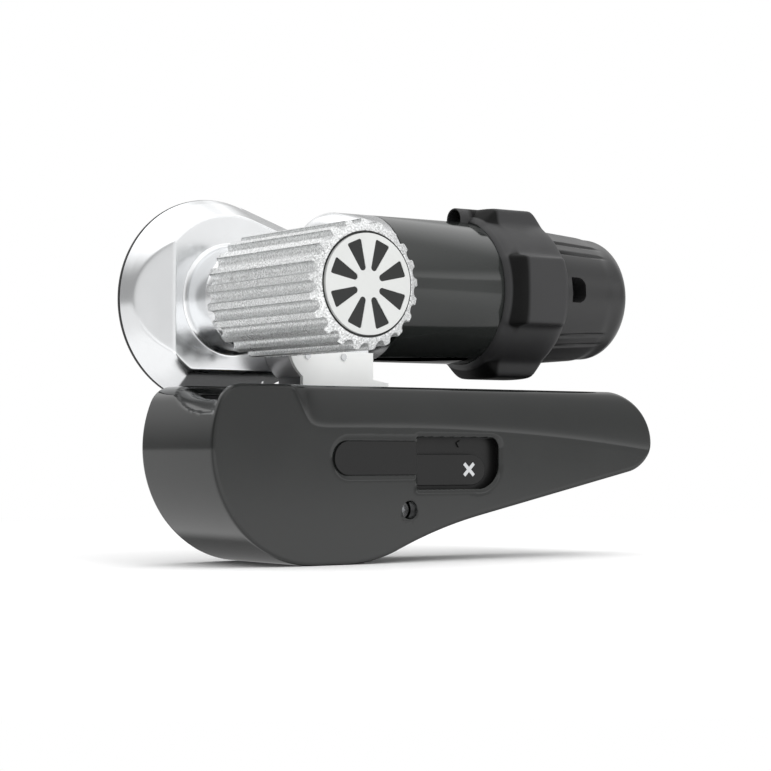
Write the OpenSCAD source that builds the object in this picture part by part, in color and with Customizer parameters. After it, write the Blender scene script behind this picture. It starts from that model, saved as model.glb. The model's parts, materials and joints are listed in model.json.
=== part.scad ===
// Caravan motor mover: a motor turns a ribbed roller through a spur pair and a worm
// gear, on a carriage that a lead screw slides towards the tyre. X runs towards the
// motor's far end, Y backwards, Z up. The origin is amid the bolts, on the rear face.

/* [Mounting plate] */
// Distance between the mounting bolts along X
bolt_spacing_x = 100; // [84:1:110]
// Distance between the mounting bolts in height
bolt_spacing_z = 40; // [30:1:44]
// Radius of a mounting bolt hole
bolt_hole_r = 5.25; // [4.25:0.25:6.25]
// Thickness of the steel plate that closes the housing
plate_t = 5; // [4:0.5:7]

/* [Housing] */
// Depth of the housing from its front face to the mounting face
housing_depth = 80; // [76:1:100]
// Wall thickness of the moulded cover
housing_wall = 3; // [2:0.25:4]
// Radius of the round big end
big_end_r = 66; // [62:1:74]
// Place of the big end's centre along X
big_end_x = -63; // [-70:1:-58]
// Height of the big end's centre
big_end_z = 6; // [2:1:10]
// Height of the housing's flat top
housing_top = 41; // [38:1:44]
// Radius of the shoulder between the big end and the top
shoulder_r = 15; // [8:1:20]
// Radius of the tail end
tail_r = 25; // [22:1:30]
// Place of the tail end's centre along X
tail_x = 163; // [155:1:190]
// Slope of the tail's underside in degrees
tail_slope = 12.3; // [8:0.1:15]
// Radius of the belly under the big end
belly_r = 94; // [70:1:120]
// Steepest slope of the belly in degrees
belly_slope = 23.3; // [18:0.1:28]
// Radius of the hollow between belly and tail
waist_r = 318; // [200:1:400]
// How far the upper front face leans back at the flat top
bevel_lean = 8.5; // [6:0.5:11]
// Height of the crease below the bevel at the big end's centre
crease_left = 21.5; // [20.5:0.5:25]
// Height of the crease below the bevel at the tail end's centre
crease_right = 8; // [6:0.5:12]
// Place along X where the crease starts
crease_start = -67; // [-75:1:-58]
// Drop of the crease's start below its left height
crease_start_drop = 4; // [2:0.5:6]
// Lean of the bevel's left end per millimetre along X
bevel_end_lean_x = 0.4; // [0.3:0.05:0.5]
// Lean of the bevel's left end per millimetre of height
bevel_end_lean_z = 0.56; // [0.45:0.01:0.65]
// Distance of the left shoulder's scoop from the front face
scoop_front = 5; // [4:1:12]
// Width of the scoop in the left shoulder
scoop_w = 54; // [40:1:58]
// Depth of the scoop below the flat top
scoop_depth = 13; // [6:1:16]
// Height of the scoop's rear wall above its round corner
scoop_lip = 3; // [2:0.5:4]
// Free room round the leg and the upright in the top's slot
slot_room = 2; // [1:0.5:4]

/* [Screws] */
// Place of the cover screw along X
cover_screw_x = 1.2; // [-2:0.2:1.4]
// Height of the cover screw
cover_screw_z = -29.8; // [-33:0.2:-28]
// Radius of the cover screw's thread
cover_screw_r = 2.5; // [2:0.25:3]
// Length of the cover screw
cover_screw_len = 26; // [20:1:34]
// Radius of the cover screw's head
cover_head_r = 4.6; // [4:0.1:4.8]
// Thickness of the cover screw's head
cover_head_t = 3; // [2:0.25:3.5]
// Depth of the cover screw's head below the front face
cover_head_sink = 8; // [7:0.25:9]
// Radius of the key socket in the cover screw's head
socket_r = 2; // [1.5:0.25:2.5]
// Depth of the key socket
socket_depth = 1.5; // [1:0.25:2]
// Length of the boss behind the cover's wall
boss_len = 12; // [11:0.5:14]
// Wall round a screw or its head in a boss
boss_wall = 3; // [2:0.25:4]
// Radius of the plate screws' threads
plate_screw_r = 2; // [1.5:0.25:2.5]
// Distance of two plate screws from the big end's centre
plate_screw_circle = 52; // [48:1:56]
// Distance of the third one from the tail's centre
plate_screw_in = 24; // [20:1:30]
// Radius of the plate screws' heads
plate_head_r = 4; // [3.5:0.25:4.5]
// Thickness of the plate screws' heads
plate_head_t = 2.4; // [1.5:0.1:2.6]
// Depth of the plate screws' heads below the mounting face
plate_head_sink = 0.4; // [0.2:0.1:0.8]
// Length of a plate screw in its boss
plate_screw_grip = 14; // [10:1:18]
// Radius of the casing screws' threads
casing_screw_r = 2; // [1.5:0.25:2.25]
// Radius of the casing screws' heads
casing_head_r = 4; // [3.5:0.25:4.5]
// Thickness of the casing screws' heads
casing_head_t = 3; // [2:0.25:4]
// Length of a casing screw in the casing
casing_screw_grip = 10; // [8:1:12]
// Distance of the casing screws from the drum's edge
casing_screw_inset = 8; // [7:0.5:9]

/* [Badge and window] */
// Place of the bare badge's round end along X
badge_x = -53; // [-58:1:-48]
// Length of the bare badge
badge_w = 57; // [45:1:58]
// Height of the bare badge
badge_h = 20; // [14:1:24]
// Depth of the badge recess
badge_sink = 1.2; // [0.8:0.1:1.4]
// Thickness of the badge
badge_t = 0.9; // [0.5:0.1:1.2]
// Place of the indicator window's straight end along X
window_x = 7; // [6:1:12]
// Length of the indicator window
window_w = 59; // [50:1:64]
// Height of the indicator window
window_h = 30; // [26:1:34]
// Height of the top edges of badge and window
window_top = 12; // [8:0.5:13]
// Radius of the window's round end
window_round_r = 12; // [6:1:13]
// Thickness of the tray behind the window
tray_t = 2; // [1:0.25:3]
// Reach of the tray past the window's lower edge
tray_reach = 3; // [2.5:0.25:4]
// Reach of the tray past the window's upper edge
tray_cover = 1.5; // [1:0.25:2]
// Depth of the free space between slider and tray
tray_room = 0.8; // [0.5:0.1:1.5]
// Width of the raised pointer on the tray
pointer_w = 3; // [2:0.25:4]
// Height of the raised pointer
pointer_t = 1; // [0.5:0.1:1.2]
// Thickness of the indicator slider
slider_t = 2; // [1.5:0.25:3]
// Height of the indicator slider
slider_h = 21; // [17:0.5:22]
// Length of the slider in the window
slider_reach = 44; // [40:1:48]
// Distance of the slider's lower edge below the window's top
slider_drop = 28; // [26:0.5:29]
// Width of the arm that carries the slider
slider_arm_w = 14; // [10:1:18]
// Height of the arm that carries the slider
slider_arm_h = 8; // [6:0.5:9]
// Length of the bars of the slider's cross
cross_len = 10; // [7:0.5:12]
// Width of the bars of the slider's cross
cross_w = 2.2; // [1.4:0.1:3]
// Thickness of the slider's cross
cross_t = 0.3; // [0.2:0.05:0.35]

/* [Roller] */
// Place of the roller's axis along X
roller_x = -75; // [-80:1:-70]
// Height of the roller's axis
roller_z = 92; // [90:1:100]
// Distance from the mounting face to the back of the roller
roller_reach = 38.5; // [36:0.5:42]
// Length of the roller with its cap
roller_len = 111.5; // [100:0.5:115]
// Radius over the ribs
roller_r = 35; // [33:0.5:36]
// Number of ribs
rib_count = 21; // [17:1:25]
// Radius of the round grooves between the ribs
groove_r = 3; // [2:0.1:3.4]
// Depth of the grooves
groove_depth = 3.8; // [2.5:0.1:4.4]
// Length of the sloped front ends of the ribs
rib_slope_len = 6; // [3:0.5:8]
// Width of the roller's rim round the cap
rim_w = 1.4; // [1:0.1:2]
// Size of the chamfer at the roller's back
back_chamfer = 1; // [0.5:0.1:2]
// Radius of the light cap
cap_r = 27; // [25:0.5:28]
// Thickness of the cap
cap_t = 2; // [1.5:0.25:3]
// Height of the cap above the roller's rim
cap_proud = 1.2; // [0.6:0.1:1.4]
// Gap between cap and roller
cap_gap = 0.9; // [0.6:0.1:1.2]
// Thickness of the dark disc behind the cap
backing_t = 1.6; // [1:0.1:2.5]
// Number of windows in the cap
cap_windows = 8; // [5:1:9]
// Outer radius of the cap's windows
window_outer_r = 24; // [21:0.5:24]
// Radius of the inner ends' centres of the cap's windows
window_inner_r = 9.5; // [9:0.5:11]
// Half width of a cap window at its outer end
window_outer_half = 4.7; // [3:0.1:5.5]
// Half width of a cap window at its inner end
window_inner_half = 1.9; // [1.2:0.1:2.4]
// Depth of the pocket behind the cap
pocket_depth = 20; // [16:1:30]
// Radius of the pocket behind the cap
pocket_r = 24; // [20:0.5:24.5]
// Distance of the shaft's front end from the pocket's floor
shaft_set_back = 4; // [2:0.5:6]
// Radius of the bolt that holds the roller on its shaft
bolt_r = 4; // [3:0.25:5]
// Length of that bolt in the shaft
bolt_len = 16; // [12:1:24]
// Radius over the corners of the bolt's head
bolt_head_r = 7.5; // [6:0.25:9]
// Height of the bolt's head
bolt_head_t = 5.5; // [4:0.25:7]
// Thickness of the bolt's washer
washer_t = 2.5; // [1.5:0.25:3]
// Width of the washer outside the shaft
washer_rim = 4; // [3:0.5:6]

/* [Keys and circlip] */
// Width of the shaft keys
key_w = 4; // [3:0.5:5]
// Depth of the keys in the shaft
key_sink = 2; // [1.5:0.25:3]
// Height of the keys above the shaft
key_rise = 1.5; // [1:0.25:2]
// Length of the key in the roller
roller_key_len = 20; // [12:1:30]
// Distance of the roller's key from the cap's front
roller_key_start = 50; // [46:1:60]
// Length of the key in the worm wheel
wheel_key_len = 8; // [6:0.5:9]
// Thickness of the circlip behind the worm wheel
circlip_t = 1.2; // [0.8:0.1:1.6]
// Depth of the circlip's groove
circlip_sink = 1; // [0.6:0.1:1.4]
// Height of the circlip above the shaft
circlip_rise = 3; // [2:0.25:4]
// Width of the circlip's mouth
circlip_mouth = 6; // [4:0.5:8]

/* [Gear casing] */
// Gap between the roller's back and the casing's neck
roller_gap = 1.2; // [0.6:0.1:2]
// Radius of the neck
neck_r = 31.5; // [28:0.5:33]
// Length of the neck
neck_len = 29.3; // [26:0.1:34]
// Size of the chamfer at the neck's front
neck_chamfer = 1; // [0.5:0.1:2]
// Radius of the fillet at the neck's foot
neck_fillet = 5; // [3:0.5:6]
// Radius of the front face's round edge
face_r = 49.5; // [46:0.5:52]
// Radius where the cone meets the flange
cone_r = 58; // [54:0.5:60]
// Radius of the flange at its back
flange_r = 60.6; // [60:0.1:64]
// Depth of the casing from its front face to the flange's back
casing_depth = 24.5; // [23.5:0.5:30]
// Thickness of the flange
flange_t = 6.5; // [5:0.5:8]
// Thickness of the casing's front wall
casing_wall = 4; // [3:0.5:5]
// Free room round the worm wheel
gear_room_gap = 13; // [10:0.5:14]
// Distance of the left flat's front edge from the roller axis
flat_x = 37.6; // [36.6:0.1:42]
// Angle of the left flat in degrees
flat_angle = 38.3; // [30:0.1:45]
// Distance of the front face's lower edge below the roller axis
face_drop = 41.5; // [40:0.5:44]
// Distance of the casing's underside below the roller axis
casing_drop = 52; // [50:0.5:55]
// Slope of the arm's top in degrees
arm_slope = 18.7; // [14:0.1:22]
// Distance from the roller axis to the arm's rising underside
arm_foot_x = 30; // [26:1:36]
// Distance of the arm's underside below the roller axis at its end
arm_foot_rise = 24; // [20:1:30]
// Length of the arm inside the gear housing
arm_overlap = 10; // [8:0.5:12]
// Thickness of the gasket
gasket_t = 2; // [1:0.5:3]
// Thickness of the rear cover's plate
cover_t = 4; // [3:0.5:6]
// Distance of the rear cover's right edge from the gear housing
cover_end_gap = 3; // [2:0.5:6]
// Wall round the rear bearing
rear_boss_wall = 6; // [4:0.5:8]
// Wall behind the rear bearing
rear_boss_end = 4; // [3:0.5:6]
// Distance from the roller axis to the gear housing at the motor
hump_start = 58; // [56:1:66]
// Length of the gear housing at the motor
hump_len = 35; // [32:1:44]
// Wall at the gear housing's left end
hump_wall = 4; // [3:0.5:5]
// Radius of the gear housing's round left edge
hump_round_r = 9; // [5:0.5:12]

/* [Gear train] */
// Lead of the worm, and pitch of the worm wheel
worm_lead = 4.5; // [4.3:0.1:4.7]
// Pitch radius of the worm
worm_pitch_r = 6.5; // [6.3:0.1:7]
// Threads along the worm
worm_turns = 7; // [5:2:7]
// Teeth of the worm wheel
wheel_teeth = 30; // [29:1:31]
// Width of the worm wheel's teeth
wheel_face = 6; // [4:0.5:6.5]
// Length of the worm wheel's hub
hub_len = 10; // [8:0.5:12]
// Wall of the worm wheel's hub
hub_wall = 5; // [4:0.5:7]
// Distance of the worm's axis behind the casing's front face
worm_set_back = 13; // [13:0.1:13.6]
// Teeth of the motor pinion
pinion_teeth = 15; // [13:1:18]
// Teeth of the gear on the worm shaft
gear_teeth = 31; // [28:1:31]
// Width of the motor pinion and its gear
spur_face = 8; // [5:0.5:10]
// Distance of the spur gears from the gear housing's wall
spur_gap = 4; // [3:0.5:6]
// Radius of the roller shaft
roller_shaft_r = 10; // [8:0.5:11]
// Radius of the worm shaft
worm_shaft_r = 3.5; // [2.5:0.1:3.7]
// Radius of the motor shaft
motor_shaft_r = 4; // [3:0.1:4.5]
// Outer radius of the roller's front bearing
front_bearing_r = 23; // [20:0.5:25]
// Thickness of the roller's front bearing
front_bearing_t = 12; // [8:0.5:14]
// Thickness of the seal in front of that bearing
seal_t = 5.6; // [4:0.2:7]
// Distance of the seal behind the neck's front
seal_set_back = 1; // [0.5:0.25:2]
// Outer radius of the roller's rear bearing
rear_bearing_r = 19; // [16:0.5:21]
// Thickness of the roller's rear bearing
rear_bearing_t = 8; // [6:0.5:9]
// Outer radius of the worm shaft's bearings
worm_bearing_r = 9.4; // [9:0.1:9.5]
// Thickness of the worm shaft's bearings
worm_bearing_t = 7; // [5:0.5:8]
// Distance between the worm and its left bearing
worm_bearing_gap = 8; // [4:0.5:8]
// Distance between the gear housing and the worm's right bearing
right_bearing_gap = 5; // [3:0.5:7]
// Outer radius of the motor's bearings
motor_bearing_r = 11; // [9:0.5:13]
// Thickness of the motor's bearings
motor_bearing_t = 6; // [5:0.5:7]

/* [Motor] */
// Radius of the motor's tube
motor_r = 44.4; // [43.5:0.1:46]
// Wall of the motor's tube
tube_wall = 3; // [2:0.25:3.5]
// Length of the motor's tube
tube_len = 114; // [108:1:130]
// Height of the motor's axis above the roller's axis
motor_rise = 10.6; // [9.5:0.1:11.5]
// Distance of the motor's axis in front of the casing's face
motor_forward = 2; // [1.5:0.1:3]
// Thickness of the plate between gears and motor
motor_plate_t = 7; // [7:0.5:9]
// Thickness of the magnets
magnet_t = 7; // [5:0.5:8]
// Gap between the magnets and the armature
air_gap = 1; // [0.6:0.1:1.5]
// Length of the magnets
magnet_len = 64; // [58:1:70]
// Distance between the motor's plate and the magnets
magnet_gap = 8; // [5:0.5:10]
// Height of the space between the two magnets
magnet_split = 28; // [20:1:36]
// Length of the armature's core
core_len = 50; // [44:1:56]
// Slots in the armature's core
core_slots = 12; // [10:2:16]
// Radius of the round slots in the core
core_slot_r = 3; // [2:0.25:3.5]
// Depth of the slots' centres in the core
core_slot_depth = 9; // [7:0.5:11]
// Width of the slots' mouths
core_slot_mouth = 2; // [1:0.25:3]
// Length of a winding's head
winding_len = 7; // [4:0.5:7]
// Radius of the commutator
commutator_r = 13; // [10:0.5:15]
// Length of the commutator
commutator_len = 14; // [12:1:16]
// Distance between the core and the commutator
commutator_gap = 12; // [10:0.5:14]
// Width of the slits between the commutator's bars
slit_w = 0.6; // [0.4:0.1:1]
// Depth of those slits
slit_depth = 2; // [1:0.25:3]
// Width of a brush
brush_w = 8; // [5:0.5:10]
// Length of a brush
brush_len = 16; // [10:1:18]
// Distance of a brush from the commutator's ends
brush_inset = 3; // [2:0.25:4]
// Distance of a brush holder from the commutator
holder_gap = 3; // [2:0.5:5]
// Thickness of the brush plate
brush_plate_t = 4; // [3:0.5:5]

/* [Collar and end cap] */
// Distance from the motor tube's start to the collar
collar_start = 68.6; // [60:0.2:74]
// Radius of the collar's plain ring
ring_r = 47.5; // [46.5:0.1:49]
// Height of the collar's front edge above the tube
collar_lip = 1.2; // [0.6:0.1:2]
// Length of the collar's slanted front edge
collar_edge = 1.5; // [1:0.1:3]
// Distance of the lobes' flat tops from the motor's axis
lobe_r = 53.5; // [52:0.5:56]
// Half of a lobe's breadth
lobe_half = 21.5; // [18:0.5:26]
// Distance from the collar's start to the lobes' ramps
lobe_start = 4.5; // [2:0.5:8]
// Length of the lobes' ramps
lobe_ramp = 10; // [8:0.5:16]
// Length of the slope at the lobes' ends
collar_chamfer = 10; // [6:0.5:14]
// Reach of the collar past the motor tube
collar_reach = 7; // [5:0.5:9]
// Length of the cable tunnel in front of the collar
tunnel_len = 9; // [5:0.5:12]
// Half of the cable tunnel's width
tunnel_half = 15; // [12:0.5:17]
// Radius of the cable tunnel's upper edges
tunnel_round_r = 6; // [4:0.5:7]
// Wall of the cable tunnel
tunnel_wall = 2; // [1:0.25:2.5]
// Distance of the cable tunnel's top below the lobes' top
tunnel_drop = 1.5; // [1:0.25:2.5]
// Depth of the cable tunnel into the collar
tunnel_depth = 10; // [6:0.5:14]
// Radius of the end cap
end_cap_r = 40.5; // [38:0.5:42]
// Radius over the end cap's pads
pad_r = 43; // [41:0.5:44]
// Half of a pad's breadth in degrees, at its foot
pad_half = 34; // [28:1:38]
// Breadth of a pad's flank in degrees
pad_flank = 4; // [2:0.5:8]
// Length of the end cap past the motor tube
end_cap_len = 67; // [60:1:72]
// Wall of the end cap
end_cap_wall = 3; // [2:0.25:4]
// Thickness of the ribs inside the end cap's wall
end_cap_rib = 6; // [4:0.5:8]
// Wall in front of the motor's rear bearing
bulkhead_wall = 2; // [1.5:0.25:4]
// Radius of the end cap's rounded end
end_round_r = 14; // [8:1:18]
// Length of the cable slot
cable_slot_len = 11; // [8:0.5:13]
// Height of the cable slot
cable_slot_h = 15; // [10:0.5:18]
// Distance of the cable slot from the end cap's end
cable_slot_end = 42.5; // [39:0.5:44]
// Distance of the cable slot's lower edge below the motor's axis
cable_slot_drop = 4; // [0:0.5:8]

/* [Carriage] */
// Travel of the drive unit towards the tyre
travel = 28; // [15:1:30]
// Radius of the guide rods
rod_r = 5; // [4:0.25:6]
// Distance between the guide rods
rod_spacing = 34; // [32:1:36]
// Height of the guide rods and the lead screw
rod_z = 16; // [14:0.5:17]
// Distance of the screw's front rod from the mounting face
screw_back = 62; // [60:0.5:63]
// Length of the carriage block
block_len = 56; // [50:1:60]
// Height of the carriage block
block_h = 30; // [27:1:31]
// Width of the carriage block past its rods' axes
block_w = 17; // [15:1:18]
// Place of the carriage block's right end along X
block_end_x = 1; // [-2:1:4]
// Length of the guide bushes
bush_len = 14; // [10:1:18]
// Wall of the guide bushes
bush_wall = 2; // [1:0.25:2.5]
// Wall of the lead nut
nut_wall = 3; // [2:0.25:3.5]
// Length of the lead nut in the block
nut_len = 30; // [20:1:40]
// Thickness of the lead nut's flange
nut_flange_t = 4; // [3:0.5:6]
// Width of the lead nut's flange outside the nut
nut_flange_w = 2; // [1:0.25:3]
// Thickness of the upright plate under the roller
upright_t = 3; // [2:0.25:4]
// Distance of the upright plate's front from the roller's back
upright_gap = 1.5; // [1:0.1:2.5]
// Place of the upright plate's right edge along X
upright_end_x = 5; // [0:1:12]
// Length of the upright's foot past its right edge
upright_foot = 11; // [6:1:14]
// Distance of the upright's foot below the leg's foot
upright_foot_drop = 3; // [2:0.5:5]
// Drop of the upright's right edge at its foot
upright_foot_slope = 2; // [1:0.5:3]
// Radius of the curved leg
leg_r = 24; // [20:1:30]
// Thickness of the curved leg
leg_t = 3; // [2:0.25:4]
// Distance of the leg's top from the roller's axis along X
leg_top_x = 22; // [20:0.5:26]
// Distance of the leg's top below the roller's axis
leg_top_drop = 30; // [28:0.5:32]
// Direction of the leg's top from its centre in degrees
leg_angle_top = 190; // [185:1:195]
// Direction of the leg's foot from its centre in degrees
leg_angle_low = 232; // [228:1:236]
// Length of the leg's flat foot
leg_foot_len = 9; // [6:0.5:12]
// Distance of the saddle's back in front of the casing's face
saddle_back_gap = 3; // [2:0.5:6]
// Height of the saddle's arms below the motor's axis
saddle_drop = 24.4; // [20:0.2:30]
// Distance of the saddle's right side from the upright's edge
saddle_inset = 1; // [0.5:0.25:3]
// Distance of the first rivet from the roller's axis along X
rivet_start = 34; // [31:0.5:38]
// Distance of the rivets below the roller's axis
rivet_drop = 32.8; // [32.5:0.1:36]
// Distance between the rivets
rivet_spacing = 25; // [18:1:30]
// Radius of a rivet's head
rivet_r = 1.9; // [1.4:0.1:2.4]
// Radius of a rivet's shank
rivet_shank_r = 1.1; // [0.8:0.1:1.3]
// Thickness of a rivet's head
rivet_head_t = 0.8; // [0.5:0.1:1]

/* [Actuator] */
// Lead of the lead screw
screw_lead = 4; // [3:0.5:5]
// Radius over the lead screw's thread
screw_r = 5; // [4.5:0.1:6]
// Depth of the lead screw's thread
thread_depth = 1.2; // [0.8:0.1:1.4]
// Radius of the lead screw's journals
journal_r = 3.2; // [2.5:0.1:3.4]
// Outer radius of the lead screw's bearings
screw_bearing_r = 8; // [6:0.25:9]
// Thickness of the lead screw's bearings
screw_bearing_t = 7; // [5:0.5:8]
// Thickness of the supports of rods and screw
support_t = 12; // [10:0.5:13]
// Wall at the closed ends of the rods' bores
support_end = 2; // [1.5:0.25:3]
// Wall of the supports in front of the front rod
support_wall = 4; // [3:0.5:5]
// Height of the supports
support_h = 26; // [22:0.5:27]
// Free length between the carriage block and the right support
right_room = 18; // [16:1:22]
// Free length left over when the carriage is fully out
left_room = 20; // [12:1:24]
// Plain length of the lead screw beside each support
screw_neck = 3; // [2:0.5:5]
// Radius of the actuator's gearbox
gearbox_r = 18; // [15:0.5:19]
// Length of the actuator's gearbox
gearbox_len = 30; // [24:1:34]
// Width of the gearbox's flange outside the gearbox
gearbox_flange_w = 2; // [1:0.25:2]
// Thickness of the gearbox's flange
gearbox_flange_t = 4; // [2:0.5:6]
// Length of the lead screw in the gearbox
screw_tail = 12; // [8:1:16]
// Radius of the actuator's motor
actuator_r = 16; // [13:0.5:17]
// Length of the actuator's motor
actuator_len = 60; // [50:1:64]
// Radius of the boss at the actuator's end
actuator_boss_r = 6; // [4:0.5:8]
// Length of the boss at the actuator's end
actuator_boss_len = 4; // [2:0.5:6]

/* [Clearances] */
// Radial clearance of running fits
run_gap = 0.05; // [0.02:0.01:0.1]
// Radial clearance of seats
seat_gap = 0.1; // [0.05:0.05:0.2]
// Clearance between pieces that pass each other
part_gap = 0.4; // [0.3:0.1:0.6]
// Clearance round the heads and shanks of screws
screw_gap = 0.3; // [0.2:0.05:0.5]
// Clearance round the cover screw's head
head_gap = 0.8; // [0.5:0.1:1.2]
// Backlash of the spur teeth at the pitch circle
spur_backlash = 0.25; // [0.2:0.05:0.35]
// Backlash of the worm wheel's straight teeth
wheel_backlash = 1; // [0.9:0.05:1.2]

/* [Hidden] */
$fn = 64;

// Reach of a cut past a face, and a size larger than the part
cut = 1;
far = 400;
// Pressure angle, addendum and dedendum of the gears, in modules
pressure_angle = 20;
addendum = 0.9;
dedendum = 1.2;

// Places along Y of the roller and the casing, from the cap backwards
roller_back = -roller_reach;
roller_front = roller_back - roller_len;
rim_y = roller_front + cap_proud;
hub_y = rim_y + pocket_depth;
roller_key_y = roller_front + roller_key_start;
neck_front = roller_back + roller_gap;
front_bearing_y = neck_front + seal_set_back + seal_t + part_gap;
face_y = neck_front + neck_len;
flange_front = face_y + casing_depth - flange_t;
flange_back = face_y + casing_depth;
cover_y = flange_back + gasket_t;
room_y = face_y + casing_wall;

// Gear train
worm_module = worm_lead / PI;
wheel_pitch_r = wheel_teeth * worm_module / 2;
worm_tip_r = worm_pitch_r + worm_module * addendum;
worm_root_r = worm_pitch_r - worm_module * dedendum;
worm_y = face_y + worm_set_back;
worm_z = roller_z + wheel_pitch_r + worm_pitch_r;
worm_len = (worm_turns + 1) * worm_lead;
worm_x = roller_x - worm_len / 2;
motor_y = face_y - motor_forward;
motor_z = roller_z + motor_rise;
spur_distance = norm([worm_y - motor_y, worm_z - motor_z]);
spur_angle = atan2(worm_z - motor_z, worm_y - motor_y);
spur_module = 2 * spur_distance / (pinion_teeth + gear_teeth);
gear_room_r = wheel_pitch_r + worm_module + gear_room_gap;
tunnel_r = worm_bearing_r + seat_gap;
shaft_room_r = roller_shaft_r + 5 * part_gap;
circlip_y = worm_y + hub_len / 2 + 2 * seat_gap;

// Places along X of the gears and the motor
worm_left = worm_x - worm_bearing_gap - worm_bearing_t;
hump_x = roller_x + hump_start;
tube_x = hump_x + hump_len;
tube_end = tube_x + tube_len;
spur_x = hump_x + hump_wall + spur_gap;
right_bearing_x = hump_x - right_bearing_gap - worm_bearing_t;
tube_inner_r = motor_r - tube_wall;
armature_r = tube_inner_r - magnet_t - air_gap;
magnet_x = tube_x + motor_plate_t + magnet_gap;
core_x = magnet_x + (magnet_len - core_len) / 2;
commutator_x = core_x + core_len + commutator_gap;
brush_plate_x = commutator_x + commutator_len;
brush_start = commutator_r + part_gap;
collar_x = tube_x + collar_start;
collar_end = tube_end + collar_reach;
cap_end = tube_end + end_cap_len;
bulkhead_t = motor_bearing_t + bulkhead_wall;

// Casing screws round the roller axis
casing_screw_angles = [0, 75, 142, 180, 222, 318];
casing_screw_circle = cone_r - casing_screw_inset;

// Carriage and actuator
screw_y = rod_spacing / 2 - screw_back;
block_x = block_end_x - block_len;
block_top = rod_z + block_h / 2;
block_front = -screw_back - block_w / 2;
right_support_x = block_end_x + right_room;
left_support_x = block_x - travel - left_room - support_t;
gearbox_x = right_support_x + support_t;
upright_y = roller_back + upright_gap;
leg_y = upright_y + upright_t;
leg_top_z = roller_z - leg_top_drop;
leg_left_x = roller_x + leg_top_x - leg_r * (1 + cos(leg_angle_top));
leg_centre = [roller_x + leg_top_x - leg_r * cos(leg_angle_top), leg_top_z - leg_r * sin(leg_angle_top)];
leg_foot = leg_centre + leg_r * [cos(leg_angle_low), sin(leg_angle_low)];
saddle_x = leg_foot.x + leg_foot_len;
rivet_x = roller_x + rivet_start;
rivet_z = roller_z - rivet_drop;

// Housing
cover_front = -housing_depth;
plate_front = -plate_t;
wall_back = cover_front + housing_wall;
tail_z = housing_top - tail_r;
crease_slope = (crease_right - crease_left) / (tail_x - big_end_x);
bevel_height = housing_top - crease_left;
cover_head_y = cover_front + cover_head_sink;
plate_head_y = -plate_head_sink - plate_head_t;
plate_screw_places = concat(
    [for (a = [222, 296]) [big_end_x, big_end_z] + plate_screw_circle * [cos(a), sin(a)]],
    [[tail_x - plate_screw_in, tail_z]]);
slot_left = leg_left_x - travel - slot_room;
slider_y = wall_back + part_gap;
slider_end_x = window_x + slider_reach;
slider_low_z = window_top - slider_drop;
slider_top_z = slider_low_z + slider_h;
slider_x = block_end_x - slider_arm_w - 2 * cut;
tray_y = slider_y + slider_t + tray_room;

// Points on an arc
function arc(c, r, a0, a1, n = 16) =
    [for (i = [0:n]) let (a = a0 + (a1 - a0) * i / n) [c.x + r * cos(a), c.y + r * sin(a)]];

// Outline of the housing, moved inwards by inset.
// The belly's start, so that belly, waist and tail meet smoothly
function housing_outline(inset) =
    let (
        reach = big_end_r - shoulder_r,
        shoulder_z = housing_top - shoulder_r,
        shoulder_x = big_end_x - sqrt(reach * reach - pow(shoulder_z - big_end_z, 2)),
        shoulder_a = atan2(shoulder_z - big_end_z, shoulder_x - big_end_x),
        low = big_end_z - big_end_r,
        rise = belly_r * (1 - cos(belly_slope)) + waist_r * (cos(tail_slope) - cos(belly_slope)),
        run = (belly_r + waist_r) * sin(belly_slope) - waist_r * sin(tail_slope),
        end_x = tail_x + ((low + rise - tail_z) * cos(tail_slope) + tail_r) / sin(tail_slope),
        belly = [end_x - run, low + belly_r],
        waist = [end_x + waist_r * sin(tail_slope), low + rise - waist_r * cos(tail_slope)]
    )
    concat(
        arc([shoulder_x, shoulder_z], shoulder_r - inset, shoulder_a, 90, 8),
        arc([tail_x, tail_z], tail_r - inset, 90, -90 + tail_slope, 20),
        arc(waist, waist_r + inset, 90 + tail_slope, 90 + belly_slope, 8),
        arc(belly, belly_r - inset, -90 + belly_slope, -90, 10),
        arc([big_end_x, big_end_z], big_end_r - inset, -90, shoulder_a - 360, 36)
    );

// Turn of an involute of base radius rb at radius r
function involute_turn(rb, r) = let (a = acos(min(1, rb / r))) tan(a) * 180 / PI - a;

// Outline of an involute gear with a tooth at angle start, thinned by backlash
function gear_outline(teeth, m, backlash, start) =
    let (
        pitch = teeth * m / 2,
        base = pitch * cos(pressure_angle),
        root = pitch - dedendum * m,
        tip = pitch + addendum * m,
        half = 90 / teeth - backlash / (2 * pitch) * 180 / PI + involute_turn(base, pitch),
        low = max(base, root),
        radii = [root, for (i = [0:4]) low + (tip - low) * i / 4],
        flank = [for (r = radii) [r, half - involute_turn(base, max(r, base))]]
    )
    [for (t = [0:teeth - 1], side = [-1, 1], i = [0:len(flank) - 1])
        let (
            f = flank[side < 0 ? i : len(flank) - 1 - i],
            a = start + 360 * t / teeth + side * f[1]
        )
        f[0] * [cos(a), sin(a)]];

// A cylinder along X or along Y
module rod_x(x, y, z, len, r) translate([x, y, z]) rotate([0, 90, 0]) cylinder(h = len, r = r);
module rod_y(x, y, z, len, r) translate([x, y, z]) rotate([-90, 0, 0]) cylinder(h = len, r = r);

// A ring along X or along Y
module ring_x(x, y, z, len, r, bore) difference() {
    rod_x(x, y, z, len, r);
    rod_x(x - cut, y, z, len + 2 * cut, bore);
}
module ring_y(x, y, z, len, r, bore) difference() {
    rod_y(x, y, z, len, r);
    rod_y(x, y - cut, z, len + 2 * cut, bore);
}

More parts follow.
